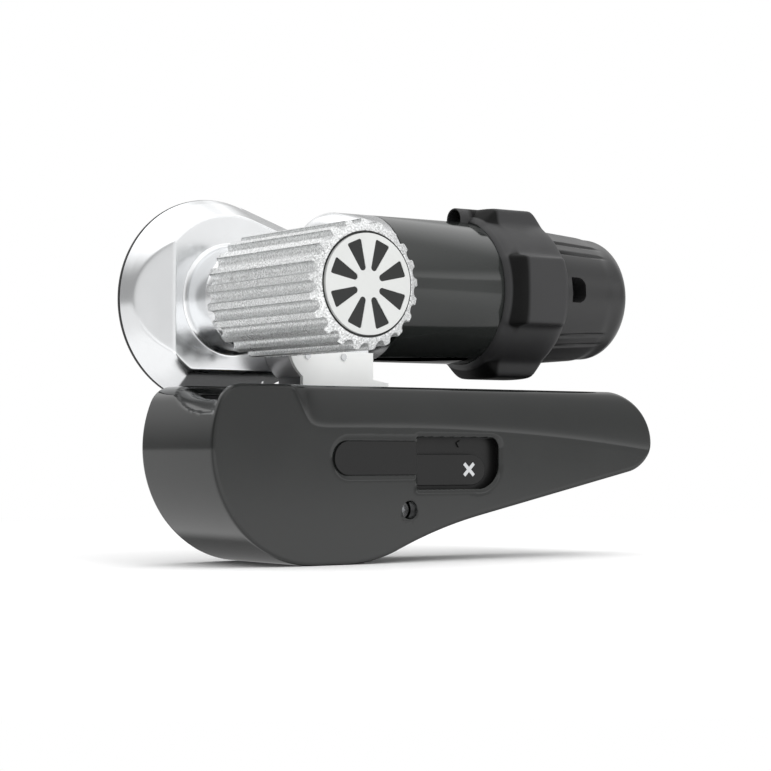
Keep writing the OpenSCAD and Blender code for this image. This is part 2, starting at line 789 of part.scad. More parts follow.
// An outline in X and Z drawn out along Y, and one in Y and Z along X
module prism_y(y0, y1) translate([0, y1, 0]) rotate([90, 0, 0]) linear_extrude(y1 - y0) children();
module prism_x(x0, x1) translate([x0, 0, 0]) rotate([90, 0, 90]) linear_extrude(x1 - x0) children();

// A profile of radius and place, turned round the roller's or the motor's axis
module round_roller(profile) translate([roller_x, 0, roller_z]) rotate([-90, 0, 0])
    rotate_extrude($fn = 128) polygon(profile);
module round_motor(profile) translate([0, motor_y, motor_z]) rotate([0, 90, 0])
    rotate_extrude($fn = 128) polygon(profile);

// A box from its lowest to its highest corner
module box(low, high) translate(low) cube(high - low);

// A skin through rings of equally many points, closed at both ends
module skin(rings) {
    n = len(rings[0]);
    last = len(rings) - 1;
    polyhedron(
        points = [for (ring = rings) each ring],
        faces = [
            [for (i = [0:n - 1]) i],
            [for (i = [n - 1:-1:0]) last * n + i],
            for (k = [0:last - 1], i = [0:n - 1])
                let (a = k * n + i, b = k * n + (i + 1) % n)
                each [[a, a + n, b + n], [a, b + n, b]]
        ]);
}

// A rod along Z with a right-hand thread, as four helical rows of points
module threaded_rod(root_r, tip_r, lead, turns, sides) {
    lean = (tip_r - root_r) / 2 * tan(pressure_angle);
    tip_half = lead / 4 - lean;
    root_half = lead / 4 + lean;
    shape = [[-root_half, root_r], [-tip_half, tip_r], [tip_half, tip_r], [root_half, root_r]];
    rows = 4 * turns;
    stride = rows + 2;
    total = (turns + 1) * lead;
    points = [for (i = [0:sides - 1]) let (a = 360 * i / sides, c = [cos(a), sin(a)])
        each [
            [root_r * c.x, root_r * c.y, 0],
            for (k = [0:rows - 1])
                let (s = shape[k % 4], z = (floor(k / 4) + 0.5 + i / sides) * lead + s[0])
                [s[1] * c.x, s[1] * c.y, z],
            [root_r * c.x, root_r * c.y, total]
        ]];
    seam = (sides - 1) * stride;
    faces = [
        [for (i = [0:sides - 1]) i * stride],
        [for (i = [sides - 1:-1:0]) i * stride + rows + 1],
        for (i = [0:sides - 2], k = [0:rows])
            let (a = i * stride + k, b = a + stride)
            each [[a, a + 1, b + 1], [a, b + 1, b]],
        for (k = [1:rows - 5])
            each [[seam + k, seam + k + 1, k + 5], [seam + k, k + 5, k + 4]],
        [seam, seam + 1, 0],
        for (k = [0:4]) [seam + 1, k + 1, k],
        [rows, seam + rows + 1, rows + 1],
        for (k = [0:3]) [rows, seam + rows - 4 + k, seam + rows - 3 + k],
        [rows, seam + rows, seam + rows + 1]
    ];
    polyhedron(points = points, faces = faces);
}

// The space on a plane's normal side, from a distance behind the plane
module beyond(point, normal, behind) {
    unit = normal / norm(normal);
    translate(point - behind * unit) rotate(acos(unit.z), [-unit.y, unit.x, 0])
        translate([-far, -far, 0]) cube([2 * far, 2 * far, far]);
}

// The space in front of the bevelled upper front, moved behind it by a distance.
// A second plane lets the bevel run out towards the big end.
module bevel_space(behind) {
    lean = bevel_lean / bevel_height;
    start = [crease_start, cover_front, crease_left - crease_start_drop];
    intersection() {
        beyond([big_end_x, cover_front, crease_left], [-lean * crease_slope, -1, lean], behind);
        beyond(start, [bevel_end_lean_x, -1, bevel_end_lean_z], behind);
    }
}

// The badge's outline: one round end, one square end
module badge_shape(inset) {
    r = badge_h / 2 - inset;
    translate([badge_x + badge_h / 2, window_top - badge_h / 2]) circle(r);
    translate([badge_x + badge_h / 2, window_top - badge_h / 2 - r])
        square([badge_w - badge_h / 2 - inset, 2 * r]);
}

// A bar whose right end has two round corners
module round_end_bar(x0, x1, z0, z1, r) {
    translate([x0, z0]) square([x1 - x0 - r, z1 - z0]);
    translate([x0, z0 + r]) square([x1 - x0, z1 - z0 - 2 * r]);
    for (z = [z0 + r, z1 - r]) translate([x1 - r, z]) circle(r);
}

module housing_cover() color([0.25, 0.255, 0.25]) difference() {
    union() {
        difference() {
            prism_y(cover_front, 0) polygon(housing_outline(0));
            bevel_space(0);
            difference() {
                prism_y(wall_back, cut) polygon(housing_outline(housing_wall));
                bevel_space(housing_wall);
            }
        }
        difference() {
            for (p = plate_screw_places)
                rod_y(p.x, wall_back - cut, p.y, plate_front - wall_back + cut, plate_screw_r + boss_wall);
            bevel_space(housing_wall / 2);
        }
        rod_y(cover_screw_x, wall_back - cut, cover_screw_z, boss_len + cut, cover_head_r + boss_wall);
    }
    for (p = plate_screw_places)
        rod_y(p.x, plate_front - plate_screw_grip - boss_wall, p.y, far, plate_screw_r + run_gap);
    rod_y(cover_screw_x, cover_front - cut, cover_screw_z,
        cut + cover_head_sink + cover_head_t, cover_head_r + head_gap);
    rod_y(cover_screw_x, cover_front, cover_screw_z, housing_wall + boss_len + cut, cover_screw_r + seat_gap);
    prism_y(cover_front - cut, cover_front + badge_sink) badge_shape(0);
    prism_y(cover_front - cut, wall_back + cut)
        round_end_bar(window_x, window_x + window_w, window_top - window_h, window_top, window_round_r);
    top_slot();
    left_scoop();
}

// Slot in the flat top for the upright and the saddle over their travel
module top_slot() box(
    [slot_left, upright_y - slot_room, housing_top - 3 * housing_wall],
    [upright_end_x + upright_foot + slot_room, face_y + slot_room, housing_top + cut]);

// Scoop through the left shoulder, with a round lower rear corner
module left_scoop() {
    r = scoop_depth - scoop_lip;
    y0 = cover_front + scoop_front;
    z0 = housing_top - scoop_depth;
    prism_x(big_end_x - big_end_r - cut, slot_left + cut) {
        translate([y0, z0]) square([scoop_w - r, scoop_depth + cut]);
        translate([y0, z0 + r]) square([scoop_w, scoop_depth - r + cut]);
        translate([y0 + scoop_w - r, z0 + r]) circle(r);
    }
}

module frame_plate() color([0.3, 0.31, 0.32]) difference() {
    prism_y(plate_front, 0) polygon(housing_outline(housing_wall + part_gap));
    for (sx = [-1, 1], sz = [-1, 1])
        rod_y(sx * bolt_spacing_x / 2, plate_front - cut, sz * bolt_spacing_z / 2,
            plate_t + 2 * cut, bolt_hole_r);
    for (p = plate_screw_places) {
        rod_y(p.x, plate_front - cut, p.y, plate_t + 2 * cut, plate_screw_r + screw_gap);
        rod_y(p.x, plate_head_y, p.y, plate_t, plate_head_r + screw_gap);
    }
}

module badge_plate() color([0.17, 0.17, 0.17])
    prism_y(cover_front + badge_sink - badge_t, cover_front + badge_sink) badge_shape(part_gap);

// Tray behind the window: floor, three rims and a raised pointer
module window_tray() color([0.15, 0.15, 0.15]) {
    low = window_top - window_h - tray_reach;
    high = window_top + tray_cover;
    x0 = window_x + tray_t;
    x1 = window_x + window_w + 2 * tray_t;
    box([x0, tray_y, low], [x1, tray_y + tray_t, high]);
    box([x0, wall_back, low], [x1, tray_y, low + tray_t]);
    box([x0, wall_back, high - tray_t], [x1, tray_y, high]);
    box([x1 - tray_t, wall_back, low], [x1, tray_y, high]);
    prism_y(tray_y - pointer_t, tray_y)
        translate([slider_end_x - slider_h / 2, (slider_top_z + high - tray_t) / 2])
        rotate(30) square(pointer_w, center = true);
}

module cover_screw() color("silver") difference() {
    union() {
        rod_y(cover_screw_x, cover_head_y, cover_screw_z, cover_head_t, cover_head_r);
        rod_y(cover_screw_x, cover_head_y, cover_screw_z, cover_screw_len, cover_screw_r);
    }
    rod_y(cover_screw_x, cover_head_y - cut, cover_screw_z, socket_depth + cut, socket_r);
}

module cover_pillar() color([0.6, 0.62, 0.64]) {
    front = wall_back + boss_len;
    difference() {
        rod_y(cover_screw_x, front, cover_screw_z, plate_front - front, cover_screw_r + boss_wall);
        rod_y(cover_screw_x, front - cut, cover_screw_z,
            cover_head_y + cover_screw_len + boss_wall - front, cover_screw_r + run_gap);
    }
}

module plate_screws() color("silver") for (p = plate_screw_places) {
    tip = plate_front - plate_screw_grip;
    rod_y(p.x, tip, p.y, plate_head_y - tip, plate_screw_r);
    rod_y(p.x, plate_head_y, p.y, plate_head_t, plate_head_r);
}

// A pair of cylinders along the two guide rods
module rod_pair(x, len, r) for (s = [-1, 1]) rod_x(x, screw_y + s * rod_spacing / 2, rod_z, len, r);

module guide_rods() color([0.7, 0.72, 0.74])
    rod_pair(left_support_x + support_end, gearbox_x - left_support_x - 2 * support_end, rod_r);

// A block on the frame plate, with blind bores for rods and bearing
module support(x, bore_x) difference() {
    box([x, -screw_back - rod_r - support_wall, rod_z - support_h / 2],
        [x + support_t, plate_front, rod_z + support_h / 2]);
    rod_pair(bore_x, support_t - support_end + cut, rod_r + run_gap);
    rod_x(bore_x, screw_y, rod_z, support_t - support_end + cut, screw_bearing_r + seat_gap);
    rod_x(x - cut, screw_y, rod_z, support_t + 2 * cut, journal_r + cut);
}

module left_support() color([0.45, 0.46, 0.47]) support(left_support_x, left_support_x + support_end);
module right_support() color([0.45, 0.46, 0.47]) support(right_support_x, right_support_x - cut);

module screw_bearings() color([0.75, 0.76, 0.78])
    for (x = [left_support_x + support_end, gearbox_x - support_end - screw_bearing_t])
        ring_x(x, screw_y, rod_z, screw_bearing_t, screw_bearing_r, journal_r + run_gap);

module actuator_gearbox() color([0.35, 0.36, 0.37]) difference() {
    union() {
        rod_x(gearbox_x, screw_y, rod_z, gearbox_len, gearbox_r);
        rod_x(gearbox_x, screw_y, rod_z, gearbox_flange_t, gearbox_r + gearbox_flange_w);
    }
    rod_x(gearbox_x - cut, screw_y, rod_z, screw_tail + 3 * cut, journal_r + run_gap);
}

module actuator_motor() color([0.2, 0.2, 0.21]) {
    x = gearbox_x + gearbox_len;
    rod_x(x, screw_y, rod_z, actuator_len, actuator_r);
    rod_x(x + actuator_len, screw_y, rod_z, actuator_boss_len, actuator_boss_r);
}

module lead_screw() color([0.72, 0.72, 0.7]) {
    left = left_support_x + support_end + cut;
    x0 = left_support_x + support_t + screw_neck;
    turns = floor((right_support_x - screw_neck - x0) / screw_lead) - 1;
    x1 = x0 + (turns + 1) * screw_lead;
    translate([x0, screw_y, rod_z]) rotate([0, 90, 0])
        threaded_rod(screw_r - thread_depth, screw_r, screw_lead, turns, 16);
    rod_x(left, screw_y, rod_z, x0 - left, journal_r);
    rod_x(x1, screw_y, rod_z, gearbox_x + screw_tail - x1, journal_r);
}

module carriage_block() color([0.62, 0.63, 0.64]) difference() {
    box([block_x, block_front, rod_z - block_h / 2], [block_end_x, 2 * screw_y - block_front, block_top]);
    rod_pair(block_x - cut, block_len + 2 * cut, rod_r + bush_wall + seat_gap);
    rod_x(block_x - cut, screw_y, rod_z, block_len + 2 * cut, screw_r + nut_wall + seat_gap);
}

module guide_bushes() color([0.55, 0.42, 0.22]) for (x = [block_x, block_end_x - bush_len]) difference() {
    rod_pair(x, bush_len, rod_r + bush_wall);
    rod_pair(x - cut, bush_len + 2 * cut, rod_r + run_gap);
}

module lead_nut() color([0.66, 0.52, 0.26]) {
    flange_x = block_x - nut_flange_t;
    difference() {
        union() {
            rod_x(block_x, screw_y, rod_z, nut_len, screw_r + nut_wall);
            rod_x(flange_x, screw_y, rod_z, nut_flange_t, screw_r + nut_wall + nut_flange_w);
        }
        rod_x(flange_x - cut, screw_y, rod_z, nut_flange_t + nut_len + 2 * cut, screw_r + 2 * run_gap);
    }
}

// Front view of the upright: its left edge follows the curved leg
module upright_shape() polygon(concat(
    arc(leg_centre, leg_r, leg_angle_top, leg_angle_low, 10),
    [
        [leg_foot.x, block_top],
        [upright_end_x + upright_foot, block_top],
        [upright_end_x + upright_foot, leg_foot.y - upright_foot_drop],
        [upright_end_x, leg_foot.y - upright_foot_drop + upright_foot_slope],
        [upright_end_x, leg_top_z]
    ]));

module upright_plate() color([0.88, 0.89, 0.89]) difference() {
    prism_y(upright_y, leg_y) upright_shape();
    for (x = [rivet_x, rivet_x + rivet_spacing])
        rod_y(x, upright_y - cut, rivet_z, upright_t + 2 * cut, rivet_shank_r + run_gap);
}

module upright_rivets() color([0.7, 0.71, 0.72]) for (x = [rivet_x, rivet_x + rivet_spacing]) {
    rod_y(x, upright_y - rivet_head_t, rivet_z, upright_t + rivet_head_t, rivet_shank_r);
    rod_y(x, upright_y - rivet_head_t, rivet_z, rivet_head_t, rivet_r);
}

// Curved leg between the casing's face and the saddle, with a flat foot
module curved_leg() color([0.5, 0.5, 0.51]) prism_y(leg_y, face_y) polygon(concat(
    arc(leg_centre, leg_r, leg_angle_top, leg_angle_low, 12),
    [[saddle_x, leg_foot.y], [saddle_x, leg_foot.y + leg_t]],
    arc(leg_centre, leg_r - leg_t, leg_angle_low, leg_angle_top, 12)));

module motor_saddle() color([0.5, 0.51, 0.52]) {
    right = upright_end_x - saddle_inset;
    difference() {
        box([saddle_x, leg_y, block_top], [right, face_y - saddle_back_gap, motor_z - saddle_drop]);
        rod_x(saddle_x - cut, motor_y, motor_z, right - saddle_x + 2 * cut, motor_r + seat_gap);
    }
}

// Slider with a round end, and the arm that ties it to the carriage block
module indicator_slider() color([0.21, 0.21, 0.21]) {
    arm_end = slider_x + slider_arm_w;
    prism_y(slider_y, slider_y + slider_t) {
        round_end_bar(slider_x, slider_end_x, slider_low_z, slider_top_z, slider_h / 2 - seat_gap);
        translate([slider_x, slider_top_z - cut]) square([slider_arm_w, slider_arm_h + cut]);
    }
    box([slider_x, slider_y + slider_t, slider_top_z],
        [arm_end, block_front, slider_top_z + slider_arm_h]);
}

module indicator_cross() color([0.85, 0.85, 0.84])
    prism_y(slider_y - cross_t, slider_y)
    translate([slider_end_x - slider_h / 2 + cut, slider_low_z + slider_h / 2])
    for (a = [45, -45]) rotate(a) square([cross_len, cross_w], center = true);

// Drum of the casing with cone and flange, cut by left flat and underside
module casing_drum() difference() {
    round_roller([
        [0, face_y], [face_r, face_y], [cone_r, flange_front], [flange_r, flange_back], [0, flange_back]]);
    left_flat();
    casing_underside();
}

// The space left of the slanted flat on the drum's left side
module left_flat() linear_extrude(far) polygon([
    [roller_x - flat_x + cut, face_y - cut * tan(flat_angle)],
    [roller_x - flat_x - far, face_y + far * tan(flat_angle)],
    [roller_x - flat_x - far, face_y - far],
    [roller_x - flat_x + cut, face_y - far]]);

// The space under the drum's slanted and flat underside
module casing_underside() prism_x(roller_x - far, tube_x) polygon([
    [face_y - cut, roller_z - face_drop],
    [face_y, roller_z - face_drop],
    [flange_front, roller_z - casing_drop],
    [flange_back + far, roller_z - casing_drop],
    [flange_back + far, roller_z - far],
    [face_y - cut, roller_z - far]]);

module casing_neck() round_roller(concat(
    [[0, neck_front], [neck_r - neck_chamfer, neck_front], [neck_r, neck_front + neck_chamfer]],
    arc([neck_r + neck_fillet, face_y - neck_fillet], neck_fillet, 180, 90, 8),
    [[neck_r + neck_fillet, face_y + cut], [0, face_y + cut]]));

// Arm from the drum to the gear housing; its top touches the cone
module casing_arm() {
    tilt = atan((cone_r - face_r) / (flange_front - face_y));
    touch = [roller_x + cone_r * sin(arm_slope), flange_front, roller_z + cone_r * cos(arm_slope)];
    difference() {
        box([roller_x + face_r * sin(arm_slope), face_y, roller_z - casing_drop],
            [hump_x + arm_overlap, flange_back, roller_z + flange_r]);
        translate(touch) rotate([tilt, arm_slope, 0]) translate([-far / 2, -far / 2, 0]) cube([far, far, far]);
        casing_underside();
        arm_underside();
    }
}

// Height of the arm's underside at x
function arm_low(x) =
    let (start = roller_x + arm_foot_x, end = hump_x + arm_overlap)
    roller_z - casing_drop + (casing_drop - arm_foot_rise) * (x - start) / (end - start);

// The space under the arm
module arm_underside() {
    x0 = roller_x + arm_foot_x;
    x1 = hump_x + arm_overlap + cut;
    prism_y(face_y - cut, cover_y + cover_t + cut)
        polygon([[x0, arm_low(x0)], [x1, arm_low(x1)], [x1, roller_z - far], [x0, roller_z - far]]);
}

module casing_hump() round_motor(concat(
    [[0, hump_x]],
    arc([motor_r - hump_round_r, hump_x + hump_round_r], hump_round_r, -90, 0, 8),
    [[motor_r, tube_x], [0, tube_x]]));

// Cylinders at the places of the casing screws
module casing_screw_rods(y, len, r) for (a = casing_screw_angles)
    rod_y(roller_x + casing_screw_circle * cos(a), y, roller_z + casing_screw_circle * sin(a), len, r);

module gear_casing() color([0.83, 0.84, 0.85]) difference() {
    union() {
        casing_drum();
        casing_neck();
        casing_arm();
        casing_hump();
    }
    rod_y(roller_x, room_y, roller_z, casing_depth, gear_room_r);
    rod_x(worm_left, worm_y, worm_z, hump_x + hump_wall + cut - worm_left, tunnel_r);
    rod_x(hump_x + hump_wall, motor_y, motor_z, hump_len, tube_inner_r);
    rod_y(roller_x, neck_front - cut, roller_z, neck_len + casing_wall + 2 * cut, shaft_room_r);
    rod_y(roller_x, neck_front - cut, roller_z,
        front_bearing_y + front_bearing_t - neck_front + cut, front_bearing_r + seat_gap);
    casing_screw_rods(flange_back - casing_screw_grip - cut, far, casing_screw_r + seat_gap);
}

// Outline of the gasket and the rear cover: drum, arm and flat underside
module flange_shape() {
    right = hump_x - cover_end_gap;
    intersection() {
        union() {
            translate([roller_x, roller_z]) circle(flange_r, $fn = 128);
            polygon([
                [roller_x, roller_z - casing_drop],
                [roller_x + arm_foot_x, roller_z - casing_drop],
                [right, arm_low(right)],
                [right, roller_z + (flange_r - (right - roller_x) * sin(arm_slope)) / cos(arm_slope)],
                [roller_x + flange_r * sin(arm_slope), roller_z + flange_r * cos(arm_slope)],
                [roller_x, roller_z]]);
        }
        translate([right - far, roller_z - casing_drop]) square(far);
    }
}

module casing_gasket() color([0.12, 0.12, 0.12]) difference() {
    prism_y(flange_back, cover_y) flange_shape();
    rod_y(roller_x, flange_back - cut, roller_z, gasket_t + 2 * cut, gear_room_r);
    casing_screw_rods(flange_back - cut, gasket_t + 2 * cut, casing_screw_r + screw_gap);
}

module casing_cover() color([0.8, 0.81, 0.82]) difference() {
    union() {
        prism_y(cover_y, cover_y + cover_t) flange_shape();
        rod_y(roller_x, cover_y, roller_z, rear_bearing_t + rear_boss_end, rear_bearing_r + rear_boss_wall);
    }
    rod_y(roller_x, cover_y - cut, roller_z, rear_bearing_t + cut, rear_bearing_r + seat_gap);
    casing_screw_rods(cover_y - cut, cover_t + 2 * cut, casing_screw_r + screw_gap);
}

module casing_screws() color([0.6, 0.61, 0.62]) {
    casing_screw_rods(flange_back - casing_screw_grip, casing_screw_grip + gasket_t + cover_t, casing_screw_r);
    casing_screw_rods(cover_y + cover_t, casing_head_t, casing_head_r);
}

module roller_bearings() color([0.74, 0.75, 0.77]) {
    ring_y(roller_x, front_bearing_y, roller_z, front_bearing_t, front_bearing_r, roller_shaft_r + run_gap);
    ring_y(roller_x, cover_y, roller_z, rear_bearing_t, rear_bearing_r, roller_shaft_r + run_gap);
}

module shaft_seal() color([0.1, 0.1, 0.1])
    ring_y(roller_x, neck_front + seal_set_back, roller_z, seal_t, front_bearing_r, roller_shaft_r + run_gap);

module worm_bearings() color([0.74, 0.75, 0.77]) for (x = [worm_left + seat_gap, right_bearing_x])
    ring_x(x, worm_y, worm_z, worm_bearing_t, worm_bearing_r, worm_shaft_r + run_gap);

module motor_plate() color([0.6, 0.61, 0.62]) difference() {
    rod_x(tube_x, motor_y, motor_z, motor_plate_t, tube_inner_r - seat_gap);
    rod_x(tube_x - cut, motor_y, motor_z, motor_bearing_t + cut, motor_bearing_r + seat_gap);
    rod_x(tube_x - cut, motor_y, motor_z, motor_plate_t + 2 * cut, motor_shaft_r + cut);
}

module motor_tube() color([0.25, 0.26, 0.255])
    ring_x(tube_x, motor_y, motor_z, tube_len, motor_r, tube_inner_r);

// Two curved magnets in the tube, above and below the shaft
module motor_magnets() color([0.3, 0.3, 0.31]) difference() {
    ring_x(magnet_x, motor_y, motor_z, magnet_len, tube_inner_r - seat_gap, tube_inner_r - magnet_t);
    box([magnet_x - cut, motor_y - motor_r, motor_z - magnet_split / 2],
        [magnet_x + magnet_len + cut, motor_y + motor_r, motor_z + magnet_split / 2]);
}

module motor_bearings() color([0.74, 0.75, 0.77]) for (x = [tube_x, tube_end + bulkhead_wall])
    ring_x(x, motor_y, motor_z, motor_bearing_t, motor_bearing_r, motor_shaft_r + run_gap);

// A pair of boxes beside the commutator, grown round a brush
module brush_boxes(grow, start, len) for (turn = [0, 180])
    translate([0, motor_y, motor_z]) rotate([turn, 0, 0])
    box([commutator_x + brush_inset - grow, start, -brush_w / 2 - grow],
        [brush_plate_x - brush_inset + grow, start + len, brush_w / 2 + grow]);

// Insulating ring in the tube's end, with a holder for each brush
module brush_plate() color([0.35, 0.27, 0.16]) difference() {
    union() {
        ring_x(brush_plate_x, motor_y, motor_z, brush_plate_t,
            tube_inner_r - seat_gap, commutator_r + holder_gap);
        brush_boxes(brush_inset + cut, commutator_r + holder_gap, brush_len);
    }
    brush_boxes(seat_gap, brush_start - cut, far);
}

module brushes() color([0.14, 0.14, 0.15]) brush_boxes(0, brush_start, brush_len);

// Height from 0 to 1 of four pads round the motor at angle a
function pad_share(a) =
    let (off = abs(((a + 405) % 90) - 45), s = max(0, min(1, (pad_half - off) / pad_flank)))
    s * s * (3 - 2 * s);

// A ring of points round the motor's axis at x, with pads from radius low to high
function motor_ring(x, low, high, n = 72) =
    [for (i = [0:n - 1])
        let (a = 360 * i / n, r = low + (high - low) * pad_share(a))
        [x, motor_y + r * cos(a), motor_z + r * sin(a)]];

// Rubber collar over the tube's end, with four lobes and a cable tunnel on top
module motor_collar() color([0.21, 0.21, 0.215]) {
    ramp_end = collar_x + lobe_start + lobe_ramp;
    corner_r = norm([lobe_r, lobe_half]) + cut;
    difference() {
        union() {
            intersection() {
                prism_x(collar_x, collar_end) translate([motor_y, motor_z]) {
                    circle(ring_r);
                    for (a = [0, 90]) rotate(a) square([2 * lobe_r, 2 * lobe_half], center = true);
                }
                round_motor([
                    [0, collar_x],
                    [motor_r + collar_lip, collar_x],
                    [ring_r + cut, collar_x + collar_edge],
                    [ring_r + cut, collar_x + lobe_start],
                    [corner_r, ramp_end],
                    [corner_r, collar_end - collar_chamfer],
                    [ring_r - cut, collar_end],
                    [0, collar_end]]);
            }
            cable_tunnel(collar_x - tunnel_len, ramp_end - 3 * cut, 0);
        }
        rod_x(collar_x - far, motor_y, motor_z, 2 * far, motor_r + seat_gap);
        cable_tunnel(collar_x - tunnel_len - cut, collar_x + tunnel_depth, tunnel_wall);
    }
}

// A round-topped bar on the motor: the tunnel's outside or inside
module cable_tunnel(x0, x1, inset) prism_x(x0, x1) {
    w = tunnel_half - inset;
    r = tunnel_round_r - inset;
    low = motor_z + motor_r - tunnel_round_r;
    high = motor_z + lobe_r - tunnel_drop - inset;
    translate([motor_y - w, low]) square([2 * w, high - r - low]);
    translate([motor_y - w + r, high - r - cut]) square([2 * (w - r), r + cut]);
    for (s = [-1, 1]) translate([motor_y + s * (w - r), high - r]) circle(r);
}

// Cap with four pads, a rounded end, a bearing seat and a hollow for the leads
module end_cap() color([0.22, 0.22, 0.225]) difference() {
    union() {
        rod_x(tube_end, motor_y, motor_z, collar_reach - 2 * cut, motor_r - seat_gap);
        skin([
            motor_ring(tube_end + cut, end_cap_r, pad_r),
            for (b = [0:15:90])
                let (r = end_cap_r - end_round_r * (1 - cos(b)))
                motor_ring(cap_end - end_round_r * (1 - sin(b)), r, r + (pad_r - end_cap_r) * cos(b))
        ]);
    }
    rod_x(tube_end + bulkhead_t, motor_y, motor_z,
        end_cap_len - bulkhead_t - end_cap_wall, end_cap_r - end_cap_wall - end_cap_rib);
    rod_x(tube_end - cut, motor_y, motor_z, bulkhead_t + 2 * cut, motor_bearing_r + seat_gap);
    cable_slot();
}

// Slot for the motor cable in the end cap's front side
module cable_slot() box(
    [cap_end - cable_slot_end - cable_slot_len, motor_y - pad_r - cut, motor_z - cable_slot_drop],
    [cap_end - cable_slot_end, motor_y - end_cap_r / 2, motor_z - cable_slot_drop + cable_slot_h]);

// Ribs are left between round grooves; their front ends slope to the cap
module drive_roller() color([0.75, 0.76, 0.77]) difference() {
    intersection() {
        prism_y(rim_y, roller_back) translate([roller_x, roller_z]) difference() {
            circle(roller_r, $fn = 128);
            for (i = [0:rib_count - 1]) rotate(90 + 360 * (i + 0.5) / rib_count)
                translate([roller_r - groove_depth + groove_r, 0]) circle(groove_r, $fn = 24);
        }
        round_roller([
            [0, rim_y], [cap_r + cap_gap + rim_w, rim_y], [roller_r, rim_y + rib_slope_len],
            [roller_r, roller_back - back_chamfer], [roller_r - back_chamfer, roller_back], [0, roller_back]]);
    }
    rod_y(roller_x, roller_front - cut, roller_z, cap_t + backing_t + cut, cap_r + cap_gap);
    rod_y(roller_x, roller_front, roller_z, hub_y - roller_front, pocket_r);
    rod_y(roller_x, roller_front, roller_z, roller_len + cut, roller_shaft_r + run_gap);
    key_box(roller_key_y, roller_key_len, run_gap);
}

// Cap with wedge-shaped windows, each with a round inner end
module roller_cap() color([0.88, 0.885, 0.88]) difference() {
    rod_y(roller_x, roller_front, roller_z, cap_t, cap_r);
    prism_y(roller_front - cut, roller_front + cap_t + cut) translate([roller_x, roller_z])
        for (i = [0:cap_windows - 1]) rotate(360 * (i + 0.5) / cap_windows) {
            translate([window_inner_r, 0]) circle(window_inner_half, $fn = 24);
            polygon([
                [window_inner_r, -window_inner_half],
                [window_outer_r, -window_outer_half],
                [window_outer_r, window_outer_half],
                [window_inner_r, window_inner_half]]);
        }
}

module cap_backing() color([0.25, 0.255, 0.25])
    rod_y(roller_x, roller_front + cap_t, roller_z, backing_t, cap_r + cap_gap - seat_gap);

// A key on top of the roller shaft from y, grown by a clearance
module key_box(y, len, grow) box(
    [roller_x - key_w / 2 - grow, y - grow, roller_z + roller_shaft_r - key_sink - grow],
    [roller_x + key_w / 2 + grow, y + len + grow, roller_z + roller_shaft_r + key_rise + grow]);

module shaft_keys() color([0.5, 0.5, 0.5]) {
    key_box(roller_key_y, roller_key_len, 0);
    key_box(worm_y - wheel_key_len / 2, wheel_key_len, 0);
}

module roller_shaft() color([0.7, 0.71, 0.72]) {
    front = hub_y + shaft_set_back;
    difference() {
        rod_y(roller_x, front, roller_z, cover_y + rear_bearing_t - part_gap - front, roller_shaft_r);
        rod_y(roller_x, front - cut, roller_z, bolt_len + 4 * cut, bolt_r + run_gap);
        key_box(roller_key_y, roller_key_len, run_gap);
        key_box(worm_y - wheel_key_len / 2, wheel_key_len, run_gap);
        ring_y(roller_x, circlip_y, roller_z, circlip_t + 2 * seat_gap,
            roller_shaft_r + cut, roller_shaft_r - circlip_sink);
    }
}

module roller_bolt() color([0.62, 0.63, 0.64]) {
    rod_y(roller_x, hub_y - washer_t, roller_z, washer_t, roller_shaft_r + washer_rim);
    translate([roller_x, hub_y - washer_t - bolt_head_t, roller_z]) rotate([-90, 0, 0])
        cylinder(h = bolt_head_t, r = bolt_head_r, $fn = 6);
    rod_y(roller_x, hub_y - washer_t, roller_z, washer_t + shaft_set_back + bolt_len, bolt_r);
}

module shaft_circlip() color([0.3, 0.3, 0.3]) difference() {
    ring_y(roller_x, circlip_y + seat_gap, roller_z, circlip_t,
        roller_shaft_r + circlip_rise, roller_shaft_r - circlip_sink + run_gap);
    box([roller_x - circlip_mouth / 2, circlip_y - cut, roller_z - far],
        [roller_x + circlip_mouth / 2, circlip_y + circlip_t + 2 * cut, roller_z]);
}

module worm_wheel() color([0.72, 0.58, 0.3]) difference() {
    union() {
        prism_y(worm_y - wheel_face / 2, worm_y + wheel_face / 2) translate([roller_x, roller_z])
            polygon(gear_outline(wheel_teeth, worm_module, wheel_backlash, 90));
        rod_y(roller_x, worm_y - hub_len / 2, roller_z, hub_len, roller_shaft_r + hub_wall);
    }
    rod_y(roller_x, worm_y - hub_len / 2 - cut, roller_z, hub_len + 2 * cut, roller_shaft_r + run_gap);
    key_box(worm_y - hub_len / 2 - cut, hub_len + 2 * cut, run_gap);
}

module worm_shaft() color([0.66, 0.67, 0.68])
    rod_x(worm_left + part_gap, worm_y, worm_z,
        spur_x + spur_face + 2 * cut - worm_left - part_gap, worm_shaft_r);

module worm() color([0.6, 0.61, 0.62]) difference() {
    translate([worm_x, worm_y, worm_z]) rotate([0, 90, 0])
        threaded_rod(worm_root_r, worm_tip_r, worm_lead, worm_turns, 20);
    rod_x(worm_x - cut, worm_y, worm_z, worm_len + 2 * cut, worm_shaft_r + run_gap);
}

module worm_gear() color([0.55, 0.56, 0.57]) difference() {
    prism_x(spur_x, spur_x + spur_face) translate([worm_y, worm_z])
        polygon(gear_outline(gear_teeth, spur_module, spur_backlash, spur_angle + 180 + 180 / gear_teeth));
    rod_x(spur_x - cut, worm_y, worm_z, spur_face + 2 * cut, worm_shaft_r + run_gap);
}

module motor_shaft() color([0.7, 0.71, 0.72])
    rod_x(spur_x - cut, motor_y, motor_z, tube_end + bulkhead_t - spur_x, motor_shaft_r);

